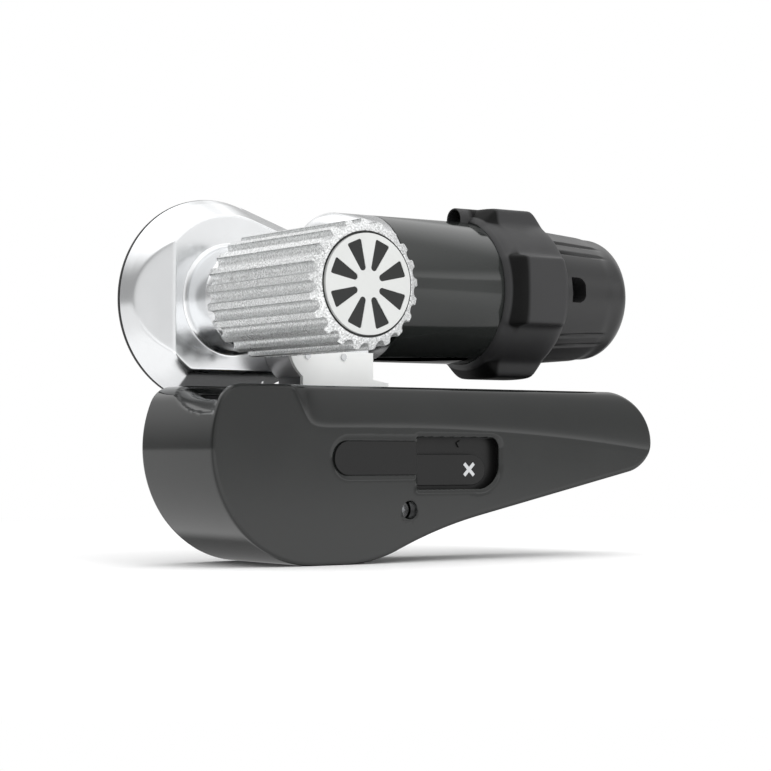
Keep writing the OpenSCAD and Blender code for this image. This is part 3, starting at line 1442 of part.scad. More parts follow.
module motor_pinion() color([0.5, 0.51, 0.52]) difference() {
    prism_x(spur_x, spur_x + spur_face) translate([motor_y, motor_z])
        polygon(gear_outline(pinion_teeth, spur_module, spur_backlash, spur_angle));
    rod_x(spur_x - cut, motor_y, motor_z, spur_face + 2 * cut, motor_shaft_r + run_gap);
}

// Laminated core with slots for the windings
module armature_core() color([0.4, 0.4, 0.41])
    prism_x(core_x, core_x + core_len) translate([motor_y, motor_z]) difference() {
        circle(armature_r, $fn = 96);
        circle(motor_shaft_r + run_gap);
        for (i = [0:core_slots - 1])
            rotate(360 * i / core_slots) translate([armature_r - core_slot_depth, 0]) {
                circle(core_slot_r, $fn = 24);
                translate([0, -core_slot_mouth / 2]) square([core_slot_depth + cut, core_slot_mouth]);
            }
    }

// The winding's heads at both ends of the core
module armature_windings() color([0.6, 0.32, 0.16]) for (x = [core_x - winding_len, core_x + core_len])
    ring_x(x, motor_y, motor_z, winding_len, armature_r - core_slot_r, motor_shaft_r + hub_wall);

module commutator() color([0.65, 0.4, 0.22]) difference() {
    ring_x(commutator_x, motor_y, motor_z, commutator_len, commutator_r, motor_shaft_r + run_gap);
    for (i = [0:core_slots - 1]) translate([commutator_x - cut, motor_y, motor_z])
        rotate([360 * (i + 0.5) / core_slots, 0, 0])
        translate([0, commutator_r - slit_depth, -slit_w / 2])
        cube([commutator_len - cut, slit_depth + cut, slit_w]);
}

housing_cover();
frame_plate();
badge_plate();
window_tray();
cover_screw();
cover_pillar();
plate_screws();
guide_rods();
left_support();
right_support();
screw_bearings();
actuator_gearbox();
actuator_motor();
lead_screw();
carriage_block();
guide_bushes();
lead_nut();
upright_plate();
upright_rivets();
curved_leg();
motor_saddle();
indicator_slider();
indicator_cross();
gear_casing();
casing_gasket();
casing_cover();
casing_screws();
roller_bearings();
shaft_seal();
worm_bearings();
motor_plate();
motor_tube();
motor_magnets();
motor_bearings();
brush_plate();
brushes();
motor_collar();
end_cap();
drive_roller();
roller_cap();
cap_backing();
roller_shaft();
roller_bolt();
shaft_keys();
shaft_circlip();
worm_wheel();
worm_shaft();
worm();
worm_gear();
motor_shaft();
motor_pinion();
armature_core();
armature_windings();
commutator();
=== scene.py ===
import json
import math

import bmesh
import bpy
import numpy as np
from mathutils import Matrix, Vector

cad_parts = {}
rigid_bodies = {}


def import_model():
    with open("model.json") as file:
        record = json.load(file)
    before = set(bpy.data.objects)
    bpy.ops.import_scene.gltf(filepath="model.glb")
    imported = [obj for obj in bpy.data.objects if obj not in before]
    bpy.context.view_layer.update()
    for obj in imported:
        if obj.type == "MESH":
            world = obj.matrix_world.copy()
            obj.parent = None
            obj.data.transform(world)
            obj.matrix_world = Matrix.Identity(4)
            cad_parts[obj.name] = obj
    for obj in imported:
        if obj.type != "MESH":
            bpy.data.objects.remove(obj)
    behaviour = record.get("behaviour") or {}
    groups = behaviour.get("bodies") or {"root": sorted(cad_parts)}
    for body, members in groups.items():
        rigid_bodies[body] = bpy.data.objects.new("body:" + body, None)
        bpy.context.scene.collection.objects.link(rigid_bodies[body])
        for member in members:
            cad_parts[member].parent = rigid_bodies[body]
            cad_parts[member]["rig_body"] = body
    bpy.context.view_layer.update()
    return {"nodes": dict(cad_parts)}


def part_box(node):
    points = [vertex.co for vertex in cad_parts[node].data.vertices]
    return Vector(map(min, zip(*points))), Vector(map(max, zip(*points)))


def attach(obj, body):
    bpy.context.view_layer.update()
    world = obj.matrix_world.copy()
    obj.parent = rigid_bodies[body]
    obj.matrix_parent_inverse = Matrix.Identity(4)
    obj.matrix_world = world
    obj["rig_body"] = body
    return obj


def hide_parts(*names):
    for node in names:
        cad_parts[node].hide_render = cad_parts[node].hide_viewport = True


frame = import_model()
slot_of = {name: node.data.materials[0].name for name, node in frame["nodes"].items()}

# Sizes are in millimetres, and a mesh is scaled to metres when it is made
MM = 0.001
MERGE = 1e-6
TINY = 1e-3
FAR = 1e3
# Room between pieces that fit into each other, and a distance that counts as none
PLAY = 0.1
SAME_PLACE = 0.01
# Angles in degrees: edges that stay sharp in shading, edges that are rounded, faces that count as one
SHARP = 40
SOFT_SHARP = 30
FLUSH = 0.2


def box_mm(node):
    """Lowest and highest corner of a CAD node in millimetres."""
    low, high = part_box(node)
    return np.array(low) / MM, np.array(high) / MM


def half_width(node):
    """Half of a CAD node's width along X in millimetres."""
    low, high = box_mm(node)
    return (high[0] - low[0]) / 2


# Places taken from the frame
roller_low, roller_high = box_mm("drive_roller")
cap_low, cap_high = box_mm("roller_cap")
tube_low, tube_high = box_mm("motor_tube")
housing_low, housing_high = box_mm("housing_cover")

roller_x = (roller_low[0] + roller_high[0]) / 2
roller_z = (cap_low[2] + cap_high[2]) / 2
roller_r = half_width("drive_roller")
rim_y = roller_low[1]
roller_back = roller_high[1]
backing_r = half_width("cap_backing")
backing_back = box_mm("cap_backing")[1][1]
face_y = box_mm("curved_leg")[1][1]
flange_back = box_mm("casing_gasket")[0][1]
motor_y = (tube_low[1] + tube_high[1]) / 2
motor_z = (tube_low[2] + tube_high[2]) / 2
motor_r = (tube_high[1] - tube_low[1]) / 2
tube_x = tube_low[0]
tube_end = tube_high[0]
collar_end = box_mm("motor_collar")[1][0]
cap_end = box_mm("end_cap")[1][0]
front_y = housing_low[1]
top_z = housing_high[2]
bottom_z = housing_low[2]
badge_back = box_mm("badge_plate")[1][1]


# Surfaces

def soft_min(a, b, blend):
    """The smaller of two arrays, with the corner between them rounded over a length."""
    return 0.5 * (a + b - np.sqrt((a - b) ** 2 + blend ** 2))


def soft_step(x, low, high):
    """0 below low, 1 above high, and a smooth rise between."""
    share = np.clip((x - low) / (high - low), 0, 1)
    return share * share * (3 - 2 * share)


def runs(*spans):
    """Numbers in even runs, each given by its first, its last and its count."""
    return np.concatenate([np.linspace(*span) for span in spans])


def full_turn(count):
    """Angles of columns evenly round an axis."""
    return np.linspace(0, 2 * np.pi, count, endpoint=False)


def quarter_turn(count):
    """Angles evenly from 0 to a quarter turn."""
    return np.linspace(0, np.pi / 2, count)


def grid_faces(rows, cols, close_rows=False, close_cols=True):
    """Corner numbers of the cells between rows and columns of points, joined round where closed."""
    row = np.arange(rows if close_rows else rows - 1)
    col = np.arange(cols if close_cols else cols - 1)
    row, col = np.meshgrid(row, col, indexing="ij")
    below = (row + 1) % rows
    beside = (col + 1) % cols
    corners = [row * cols + col, row * cols + beside, below * cols + beside, below * cols + col]
    return np.stack(corners, axis=-1).reshape(-1, 4)


def round_y(angles, radii, places, centre=(roller_x, roller_z)):
    """Points round an axis along Y, the roller's if no other is given: an angle from the top for each
    column, a place along Y for each row."""
    x = centre[0] + radii * np.sin(angles)
    z = centre[1] + radii * np.cos(angles)
    return np.stack([x, np.broadcast_to(places, x.shape), z], axis=-1)


def round_x(angles, radii, places):
    """Points round the motor's axis: for a column an angle from the back, for a row a place along X."""
    y = motor_y + radii * np.cos(angles)
    z = motor_z + radii * np.sin(angles)
    return np.stack([np.broadcast_to(places, y.shape), y, z], axis=-1)


def shade(mesh, sharp):
    """Smooth shading with edges above an angle in degrees left sharp."""
    mesh.shade_smooth()
    mesh.set_sharp_from_angle(angle=math.radians(sharp))


def place(name, mesh, body, slot, stands_for):
    """An object for a finished mesh, with its finish, tied to its body and to the nodes it stands for."""
    piece = bpy.data.objects.new(name, mesh)
    bpy.context.scene.collection.objects.link(piece)
    mesh.materials.clear()
    mesh.materials.append(finishes[slot])
    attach(piece, body)
    if stands_for:
        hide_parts(*stands_for)
    return piece


def add_grid(name, points, faces, body, slot, stands_for=(), sharp=SHARP):
    """A piece from a grid of points, with its seams and poles merged and its faces turned outwards."""
    mesh = bpy.data.meshes.new(name)
    mesh.from_pydata((points.reshape(-1, 3) * MM).tolist(), [], faces.tolist())
    work = bmesh.new()
    work.from_mesh(mesh)
    bmesh.ops.remove_doubles(work, verts=work.verts, dist=MERGE)
    bmesh.ops.dissolve_degenerate(work, edges=work.edges, dist=MERGE)
    bmesh.ops.recalc_face_normals(work, faces=work.faces)
    work.to_mesh(mesh)
    work.free()
    shade(mesh, sharp)
    return place(name, mesh, body, slot, stands_for)


def add_turned(name, around, profile, columns, body, slot, stands_for=(), sharp=SHARP):
    """A piece from a profile, radii and places along an axis, turned about that axis."""
    profile = np.array(profile)
    angle = full_turn(columns)
    points = around(angle, profile[:, :1] * np.ones_like(angle), profile[:, 1:])
    return add_grid(name, points, grid_faces(len(profile), columns), body, slot, stands_for, sharp)


def add_softened(node, name, width):
    """A copy of a CAD node's mesh with its flat areas joined, whose edges are rounded by a width."""
    source = frame["nodes"][node]
    mesh = source.data.copy()
    mesh.name = name
    if "custom_normal" in mesh.attributes:
        mesh.attributes.remove(mesh.attributes["custom_normal"])
    work = bmesh.new()
    work.from_mesh(mesh)
    bmesh.ops.remove_doubles(work, verts=work.verts, dist=MERGE)
    bmesh.ops.dissolve_limit(
        work, angle_limit=math.radians(FLUSH), verts=work.verts, edges=work.edges,
        use_dissolve_boundaries=False)
    work.to_mesh(mesh)
    work.free()
    shade(mesh, SOFT_SHARP)
    piece = place(name, mesh, source["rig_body"], slot_of[node], [node])
    bevel = piece.modifiers.new("rounded_edges", "BEVEL")
    bevel.limit_method = "ANGLE"
    bevel.angle_limit = math.radians(SOFT_SHARP)
    bevel.width = width * MM
    bevel.segments = 3
    bevel.miter_outer = "MITER_ARC"
    weighted = piece.modifiers.new("flat_areas", "WEIGHTED_NORMAL")
    weighted.keep_sharp = True
    return piece


def adjust(piece, shift=(0, 0, 0), scale=(1, 1, 1), anchor=(0, 0, 0)):
    """Scale a piece's mesh about an anchor and shift it, in millimetres."""
    fixed = Vector(anchor) * MM
    moved = Matrix.Translation(fixed + Vector(shift) * MM) @ Matrix.Diagonal((*scale, 1))
    piece.data.transform(moved @ Matrix.Translation(-fixed))


# Finishes

def start_finish(name, colour, metallic, roughness):
    """A material with its main shader, and the object's own coordinates for its patterns."""
    material = bpy.data.materials.new(name)
    material.use_nodes = True
    tree = material.node_tree
    shader = tree.nodes["Principled BSDF"]
    shader.inputs["Base Color"].default_value = (*colour, 1)
    shader.inputs["Metallic"].default_value = metallic
    shader.inputs["Roughness"].default_value = roughness
    coordinates = tree.nodes.new("ShaderNodeTexCoord")
    return material, tree, shader, coordinates.outputs["Object"]


def add_noise(tree, vector, size, detail, stretch=None):
    """A noise pattern with cells of a size in millimetres, drawn out along the axes if asked."""
    if stretch is not None:
        mapping = tree.nodes.new("ShaderNodeMapping")
        mapping.inputs["Scale"].default_value = stretch
        tree.links.new(vector, mapping.inputs["Vector"])
        vector = mapping.outputs["Vector"]
    noise = tree.nodes.new("ShaderNodeTexNoise")
    noise.inputs["Scale"].default_value = 1 / (size * MM)
    noise.inputs["Detail"].default_value = detail
    tree.links.new(vector, noise.inputs["Vector"])
    return noise.outputs["Fac"]


def add_range(tree, value, low, high, start=0.3, end=0.7, kind="LINEAR"):
    """A value that runs from low to high while another runs from start to end."""
    spread = tree.nodes.new("ShaderNodeMapRange")
    spread.interpolation_type = kind
    spread.inputs["From Min"].default_value = start
    spread.inputs["From Max"].default_value = end
    spread.inputs["To Min"].default_value = low
    spread.inputs["To Max"].default_value = high
    tree.links.new(value, spread.inputs["Value"])
    return spread.outputs["Result"]


def add_tint(tree, shader, pattern, colour, spread):
    """Base colour between a darker and a lighter tint of a colour, by a pattern."""
    mix = tree.nodes.new("ShaderNodeMix")
    mix.data_type = "RGBA"
    mix.inputs["A"].default_value = (*(c * (1 - spread) for c in colour), 1)
    mix.inputs["B"].default_value = (*(c * (1 + spread) for c in colour), 1)
    tree.links.new(add_range(tree, pattern, 0, 1), mix.inputs["Factor"])
    tree.links.new(mix.outputs["Result"], shader.inputs["Base Color"])


def add_gloss(tree, shader, pattern, roughness, spread):
    """Roughness a spread below and above its middle, by a pattern."""
    value = add_range(tree, pattern, roughness - spread, roughness + spread)
    tree.links.new(value, shader.inputs["Roughness"])


def add_bump(tree, shader, height, depth):
    """Relief of a depth in millimetres, by a pattern."""
    bump = tree.nodes.new("ShaderNodeBump")
    bump.inputs["Distance"].default_value = depth * MM
    tree.links.new(height, bump.inputs["Height"])
    tree.links.new(bump.outputs["Normal"], shader.inputs["Normal"])


def moulded(name, colour, roughness, grain, depth):
    """Moulded plastic or rubber: a fine even grain, faint cloudiness in tint and gloss."""
    material, tree, shader, vector = start_finish(name, colour, 0.0, roughness)
    cloud = add_noise(tree, vector, size=28, detail=3)
    fine = add_noise(tree, vector, size=grain, detail=3)
    add_tint(tree, shader, cloud, colour, spread=0.07)
    add_gloss(tree, shader, cloud, roughness, spread=0.15 * roughness)
    add_bump(tree, shader, fine, depth)
    return material


def cast_metal(name, colour, roughness, grain, depth, sparkle=0.0, metallic=1.0):
    """Cast metal: a grain of facets, each with its own tint, over faint clouds in gloss."""
    material, tree, shader, vector = start_finish(name, colour, metallic, roughness)
    cloud = add_noise(tree, vector, size=20, detail=3)
    fine = add_noise(tree, vector, size=grain, detail=4)
    add_tint(tree, shader, fine, colour, spread=0.03 + sparkle)
    add_gloss(tree, shader, cloud, roughness, spread=0.05)
    add_bump(tree, shader, fine, depth)
    return material


def turned_metal(name, colour, roughness, stretch):
    """Turned or drawn metal: fine lines along one direction."""
    material, tree, shader, vector = start_finish(name, colour, 1.0, roughness)
    lines = add_noise(tree, vector, size=0.5, detail=3, stretch=stretch)
    add_tint(tree, shader, lines, colour, spread=0.06)
    add_gloss(tree, shader, lines, roughness, spread=0.06)
    add_bump(tree, shader, lines, depth=0.01)
    return material


def painted(name, colour, roughness, depth):
    """Coated surface: a smooth film with a faint orange-peel relief."""
    material, tree, shader, vector = start_finish(name, colour, 0.0, roughness)
    cloud = add_noise(tree, vector, size=40, detail=3)
    peel = add_noise(tree, vector, size=1.6, detail=2)
    add_tint(tree, shader, cloud, colour, spread=0.04)
    add_gloss(tree, shader, peel, roughness, spread=0.1 * roughness)
    add_bump(tree, shader, peel, depth)
    return material


def object_place(tree, axis):
    """One of the object's own coordinates."""
    coordinates = tree.nodes.new("ShaderNodeTexCoord")
    parts = tree.nodes.new("ShaderNodeSeparateXYZ")
    tree.links.new(coordinates.outputs["Object"], parts.inputs["Vector"])
    return parts.outputs[axis]


def add_math(tree, operation, a, b):
    """A sum, product or other operation on two values, of which the second may be a number."""
    node = tree.nodes.new("ShaderNodeMath")
    node.operation = operation
    tree.links.new(a, node.inputs[0])
    if isinstance(b, (int, float)):
        node.inputs[1].default_value = b
    else:
        tree.links.new(b, node.inputs[1])
    return node.outputs["Value"]


def dull_part(material, mask, colour, gloss):
    """Turn a finish darker and duller where a mask is 1. A gloss of 0.5 is the full one."""
    tree = material.node_tree
    shader = tree.nodes["Principled BSDF"]
    tint = shader.inputs["Base Color"].links[0].from_socket
    mix = tree.nodes.new("ShaderNodeMix")
    mix.data_type = "RGBA"
    mix.inputs["B"].default_value = (*colour, 1)
    tree.links.new(mask, mix.inputs["Factor"])
    tree.links.new(tint, mix.inputs["A"])
    tree.links.new(mix.outputs["Result"], shader.inputs["Base Color"])
    tree.links.new(add_range(tree, mask, 0.5, gloss, 0, 1), shader.inputs["Specular IOR Level"])


ALONG_X = (0.05, 1, 1)
ALONG_Z = (1, 1, 0.1)
# Each row: how it is made, its slot, colour and roughness, and what that way of making asks for next
FINISHES = [
    (moulded, "housing_plastic", (0.010, 0.011, 0.0105), 0.09, 0.5, 0.0006),
    (moulded, "dark_plastic", (0.014, 0.014, 0.0145), 0.34, 0.5, 0.006),
    (painted, "plate_steel", (0.04, 0.042, 0.045), 0.4, 0.01),
    (turned_metal, "bright_steel", (0.62, 0.63, 0.64), 0.28, ALONG_X),
    (turned_metal, "screw_steel", (0.6, 0.61, 0.62), 0.25, ALONG_Z),
    (cast_metal, "cast_silver", (0.82, 0.83, 0.84), 0.2, 0.8, 0.002),
    (cast_metal, "roller_aluminium", (0.7, 0.71, 0.71), 0.3, 1.0, 0.4, 0.36, 0.75),
    (painted, "cap_light", (0.62, 0.63, 0.62), 0.4, 0.002),
    (painted, "upright_light", (0.95, 0.96, 0.95), 0.4, 0.002),
    (cast_metal, "leg_steel", (0.42, 0.42, 0.43), 0.4, 1.2, 0.01, 0.0, 0.4),
    (painted, "motor_coat", (0.018, 0.02, 0.019), 0.1, 0.0004),
    (moulded, "collar_rubber", (0.021, 0.021, 0.022), 0.55, 0.6, 0.01),
    (moulded, "gasket_rubber", (0.015, 0.015, 0.015), 0.6, 0.5, 0.02),
    (turned_metal, "bronze", (0.6, 0.42, 0.2), 0.3, ALONG_X),
    (turned_metal, "copper", (0.66, 0.33, 0.16), 0.3, ALONG_Z),
    (moulded, "magnet", (0.09, 0.09, 0.095), 0.6, 0.6, 0.03),
    (moulded, "carbon", (0.04, 0.04, 0.042), 0.65, 0.4, 0.02),
    (moulded, "brush_board", (0.3, 0.2, 0.1), 0.55, 0.7, 0.01),
]
finishes = {slot: make(slot, *looks) for make, slot, *looks in FINISHES}
for node_name, node in frame["nodes"].items():
    node.data.materials.clear()
    node.data.materials.append(finishes[slot_of[node_name]])


# Drive roller
RIBS = 21
GROOVE_R = 3.0
GROOVE_DEPTH = 3.8
RIB_CORNER_R = 0.45
RIM_OUTER_R = 29.3
RIM_EDGE = 0.3
RIM_SLOPE = 3.4
RIM_BLEND = 0.25
BEYOND_RIBS = 3.0
BACK_CHAMFER = 1.0
CAP_CORNER_R = 1.2
CAP_CORNER_FROM = 18.0
CAP_CORNER_SHARP = math.radians(40)
CAP_RIM_FROM = 26.0
CAP_DISC_R = 26.0
CAP_DISC_SET = 0.5
CAP_RING_MORE = 0.5


def rib_outline():
    """Angle and radius round the roller, for every rib a groove, two corners and a crest.
    The groove is an arc about a centre just inside the crest's circle. A corner is an arc that touches
    both."""
    centre = roller_r - GROOVE_DEPTH + GROOVE_R
    inner = roller_r - RIB_CORNER_R
    reach = GROOVE_R + RIB_CORNER_R
    corner_z = (inner ** 2 - reach ** 2 + centre ** 2) / (2 * centre)
    corner_x = math.sqrt(inner ** 2 - corner_z ** 2)
    swing = math.atan2(corner_x, centre - corner_z)
    a = np.linspace(-swing, swing, 13)
    groove_x = GROOVE_R * np.sin(a)
    groove_z = centre - GROOVE_R * np.cos(a)
    b = np.linspace(math.atan2(centre - corner_z, -corner_x), math.atan2(corner_z, corner_x), 5)[1:]
    edge_x = corner_x + RIB_CORNER_R * np.cos(b)
    edge_z = corner_z + RIB_CORNER_R * np.sin(b)
    x = np.concatenate([-edge_x[::-1], groove_x, edge_x])
    z = np.concatenate([edge_z[::-1], groove_z, edge_z])
    pitch = 2 * np.pi / RIBS
    last = math.atan2(edge_x[-1], edge_z[-1])
    crest = np.linspace(last, pitch - last, 6)[1:-1]
    angle = np.concatenate([np.arctan2(x, z), crest])
    radius = np.concatenate([np.hypot(x, z), np.full(crest.shape, roller_r)])
    turns = (np.arange(RIBS)[:, None] + 0.5) * pitch
    return (turns + angle).ravel(), np.tile(radius, RIBS)


def make_roller():
    """Closed ring of the rib outline: slanted front rim, ribs, back face, bore and the cap's seat."""
    angle, outline = rib_outline()
    seat_r = backing_r + CAP_RING_MORE + PLAY
    seat_y = backing_back + PLAY
    bore_r = half_width("roller_shaft") + PLAY / 2
    slope = (RIM_EDGE, RIM_SLOPE + 0.6, 16)
    ribbed = (RIM_SLOPE + 2, roller_back - BACK_CHAMFER - rim_y, 26)
    along = np.concatenate([[0, 0, 0.1], runs(slope, ribbed), [roller_back - rim_y] * 2])
    limit = RIM_OUTER_R + (roller_r - RIM_OUTER_R) * along / RIM_SLOPE
    limit[0] = seat_r
    limit[1] = RIM_OUTER_R - RIM_EDGE
    limit[-2] = roller_r - BACK_CHAMFER
    limit[-1] = bore_r
    limit = np.minimum(limit, roller_r + BEYOND_RIBS)
    radii = soft_min(outline[None, :], limit[:, None], RIM_BLEND)
    inner = np.array([[bore_r], [seat_r]]) * np.ones_like(outline)
    places = np.concatenate([rim_y + along, [seat_y, seat_y]])[:, None]
    points = round_y(angle, np.concatenate([radii, inner]), places)
    faces = grid_faces(len(points), len(angle), close_rows=True)
    add_grid("ribbed_roller", points, faces, "roller", "roller_aluminium", ["drive_roller"], sharp=50)


def make_cap_disc():
    """Dark disc behind the cap's windows: a turned profile with a wider rim that shows round the cap."""
    disc_y = cap_low[1] + CAP_DISC_SET
    step_y = cap_high[1]
    ring_r = backing_r + CAP_RING_MORE
    profile = [
        (0, disc_y), (CAP_DISC_R, disc_y), (CAP_DISC_R, step_y),
        (ring_r, step_y), (ring_r, backing_back), (0, backing_back)]
    add_turned("cap_dark_disc", round_y, profile, 96, "roller", "housing_plastic", ["cap_backing"])


def make_cap():
    """Copy of the cap whose outer window corners, sharp edges along Y between two radii, are rounded."""
    cap = add_softened("roller_cap", "roller_end_cap", width=0.3)
    work = bmesh.new()
    work.from_mesh(cap.data)
    corners = []
    for edge in work.edges:
        first, second = (Vector((v.co.x / MM - roller_x, v.co.z / MM - roller_z)) for v in edge.verts)
        between = CAP_CORNER_FROM < first.length < CAP_RIM_FROM
        along_y = (first - second).length < SAME_PLACE
        if between and along_y and edge.calc_face_angle(0) > CAP_CORNER_SHARP:
            corners.append(edge)
    bmesh.ops.bevel(
        work, geom=corners, offset=CAP_CORNER_R * MM, segments=4, profile=0.5, affect="EDGES")
    work.to_mesh(cap.data)
    work.free()


make_roller()
make_cap()
make_cap_disc()


# Gear casing
NECK_R = 30.5
NECK_CHAMFER = 1.0
NECK_FILLET = 2.5
NECK_GAP = 1.2
FACE_R = 49.5
CONE_R = 58.0
FLANGE_R = 60.6
FLANGE_T = 6.5
FLANGE_EDGE = 0.6
FACE_EDGE_R = 0.9
FLAT_X = 37.6
FLAT_ANGLE = math.radians(38.3)
FACE_DROP = 41.5
CASING_DROP = 52.0
CASING_BLEND = 0.6
CASING_SHARP = 45
ARM_SLOPE = math.radians(18.7)
ARM_LAST = math.radians(150)
ARM_FOOT = (30.0, -52.0)
ARM_END = (68.0, -24.0)
HUMP_START = 58.0
HUMP_ROUND_R = 9.0
HUMP_GAP = 0.2
SEAM_LEN = 0.7
SEAM_DEPTH = 0.5
COVER_SHRINK = 0.95
flange_front = flange_back - FLANGE_T
neck_front = roller_back + NECK_GAP


def casing_limit(angle, y):
    """Reach of the casing from the roller's axis at an angle from the top and a place along Y.
    The drum is a cone, cut by the slanted left flat and by the underside. The arm is bounded by a plane
    that touches the cone, by its end and by its rising underside. The reach is the larger of the two."""
    side = np.sin(angle)
    up = np.cos(angle)
    deep = y - face_y
    cone = FACE_R + (CONE_R - FACE_R) * deep / (flange_front - face_y)
    past = np.clip((y - flange_front) / FLANGE_T, 0, 1)
    drum = np.where(past > 0, CONE_R + (FLANGE_R - CONE_R) * past, cone)
    flat = (FLAT_X + deep / math.tan(FLAT_ANGLE)) / np.maximum(-side, TINY)
    drop = FACE_DROP + (CASING_DROP - FACE_DROP) * np.clip(deep / (flange_front - face_y), 0, 1)
    under = drop / np.maximum(-up, TINY)
    drum = soft_min(drum, np.minimum(flat, FAR), CASING_BLEND)
    drum = soft_min(drum, np.minimum(under, FAR), CASING_BLEND)
    top = cone / np.maximum(side * math.sin(ARM_SLOPE) + up * math.cos(ARM_SLOPE), TINY)
    end = ARM_END[0] / np.maximum(side, TINY)
    run = ARM_END[0] - ARM_FOOT[0]
    rise = ARM_END[1] - ARM_FOOT[1]
    foot = (rise * ARM_FOOT[0] - run * ARM_FOOT[1]) / np.maximum(rise * side - run * up, TINY)
    arm = np.minimum(np.minimum(top, end), np.minimum(foot, under))
    toward = (angle > ARM_SLOPE) & (angle < ARM_LAST)
    return np.maximum(drum, np.where(toward, arm, 0))


def make_casing_front():
    """Neck, fillet, face, rounded face edge, cone and flange, in rows from the neck's front to the
    flange's back."""
    angle = full_turn(900)
    even = np.ones_like(angle)
    bend = quarter_turn(10)[1:]
    foot_r = NECK_R + NECK_FILLET
    rows = [(0 * even, neck_front), ((NECK_R - NECK_CHAMFER) * even, neck_front)]
    neck = np.linspace(neck_front + NECK_CHAMFER, face_y - NECK_FILLET, 5)
    rows += [(NECK_R * even, y) for y in neck]
    for b in bend:
        y = face_y - NECK_FILLET * (1 - math.sin(b))
        rows.append(((foot_r - NECK_FILLET * math.cos(b)) * even, y))
    edge = casing_limit(angle, face_y) - FACE_EDGE_R
    rows += [(foot_r + (edge - foot_r) * share, face_y) for share in np.linspace(0.08, 1, 10)]
    for b in bend:
        y = face_y + FACE_EDGE_R * (1 - math.cos(b))
        rows.append((casing_limit(angle, y) - FACE_EDGE_R * (1 - math.sin(b)), y))
    cone = np.linspace(face_y + FACE_EDGE_R + FLANGE_EDGE, flange_back - FLANGE_EDGE, 34)
    rows += [(casing_limit(angle, y), y) for y in cone]
    rows += [(casing_limit(angle, flange_back) - FLANGE_EDGE, flange_back), (0 * even, flange_back)]
    radii = np.array([r for r, y in rows])
    places = np.array([y for r, y in rows])[:, None]
    points = round_y(angle, radii, places)
    faces = grid_faces(len(rows), len(angle))
    add_grid(
        "casing_shell", points, faces, "drive_unit", "cast_silver", ["gear_casing"], sharp=CASING_SHARP)


def make_casing_hump():
    """Round gear housing at the motor: a turned profile with a round left edge and a seam at the tube."""
    hump_x = roller_x + HUMP_START
    inner = motor_r - HUMP_ROUND_R
    profile = [(0, hump_x), (inner / 2, hump_x)]
    for b in quarter_turn(12):
        profile.append((inner + HUMP_ROUND_R * math.sin(b), hump_x + HUMP_ROUND_R * (1 - math.cos(b))))
    last = tube_x - HUMP_GAP
    profile += [(motor_r, tube_x - SEAM_LEN), (motor_r - SEAM_DEPTH, last), (0, last)]
    add_turned(
        "casing_gear_end", round_x, profile, 180, "drive_unit", "cast_silver", sharp=CASING_SHARP)


def make_casing_cover():
    """Rear cover, drawn in round the roller's axis, so that the gasket's edge shows behind the flange."""
    cover = add_softened("casing_cover", "casing_rear_cover", width=0.8)
    adjust(cover, scale=(COVER_SHRINK, 1, COVER_SHRINK), anchor=(roller_x, 0, roller_z))


make_casing_front()
make_casing_hump()
make_casing_cover()
add_softened("casing_gasket", "casing_dark_gasket", width=0.3)


# Motor tube, collar and end cap
TUBE_ROUND = (0.1, 0.3)
RING_R = 47.5
RING_BLEND = 4.0
COLLAR_EDGE = 0.7
COLLAR_BLEND = 3.5
COLLAR_START = 72.0
COLLAR_SLOPE = 10.0
LIP_RISE = 1.7
LOBE_TOP = 53.4
LOBE_HALF = 21.5
LOBE_BLEND = 4.5
LOBE_SPARE = 1.0
LEAST_SINE = 0.1
RAMP_START = 2.5
RAMP_LEN = 11.3
TUNNEL_START = 66.2
TUNNEL_HALF = 7.5
TUNNEL_ROUND = 7.3
TUNNEL_WALL = 1.0
TUNNEL_RIM = 0.3
TUNNEL_LIP = (0.6, 0.4)
TUNNEL_DROP = 0.1
TUNNEL_DEPTH = 10.0
TUNNEL_END = 15.0
END_R = 40.5
END_TAPER = 0.035
END_ROUND = 13.0
PAD_R = 43.0
PAD_LAST = 47.0
PAD_STEP = 4.0
PAD_TAPER = 0.018
PAD_GROOVES = (38.0, 50.0)
GROOVE_HALF = 2.4
GROOVE_FLOOR = 0.3
DIAGONAL_DIP = 0.35
INLET_END = 42.5
INLET_LEN = 11.0
INLET_DROP = 5.2
INLET_HEIGHT = 15.0
INLET_ROUND = 5.5
INLET_DEPTH = 12.0
INLET_EDGE = (-0.5, 0.3)
# Painted shade on the collar's ramps: its start and end along the motor, how far out from the axis it
# sets in, its dark colour and its gloss
RAMP_SHADE_START = (-2.0, 1.5)
RAMP_SHADE_END = -2.5
RAMP_SHADE_RISE = 0.8
RAMP_PAINTED_SHADE = (0.006, 0.006, 0.006)
RAMP_SHADE_GLOSS = 0.1
INSERT_TINT = (0.008, 0.008, 0.008)
INSERT_GLOSS = 0.3
INSERT_LAST = (75.0, 80.0)
collar_x = tube_x + COLLAR_START


def make_tube():
    """Motor tube: a turned profile with small round edges."""
    first = tube_x + PLAY
    profile = [
        (0, first), (motor_r - SEAM_DEPTH, first),
        (motor_r - TUBE_ROUND[0], tube_x + TUBE_ROUND[1]),
        (motor_r, tube_x + SEAM_LEN), (motor_r, tube_end - SEAM_LEN),
        (motor_r - SEAM_DEPTH, tube_end), (0, tube_end)]
    add_turned("motor_body", round_x, profile, 240, "drive_unit", "motor_coat", ["motor_tube"])


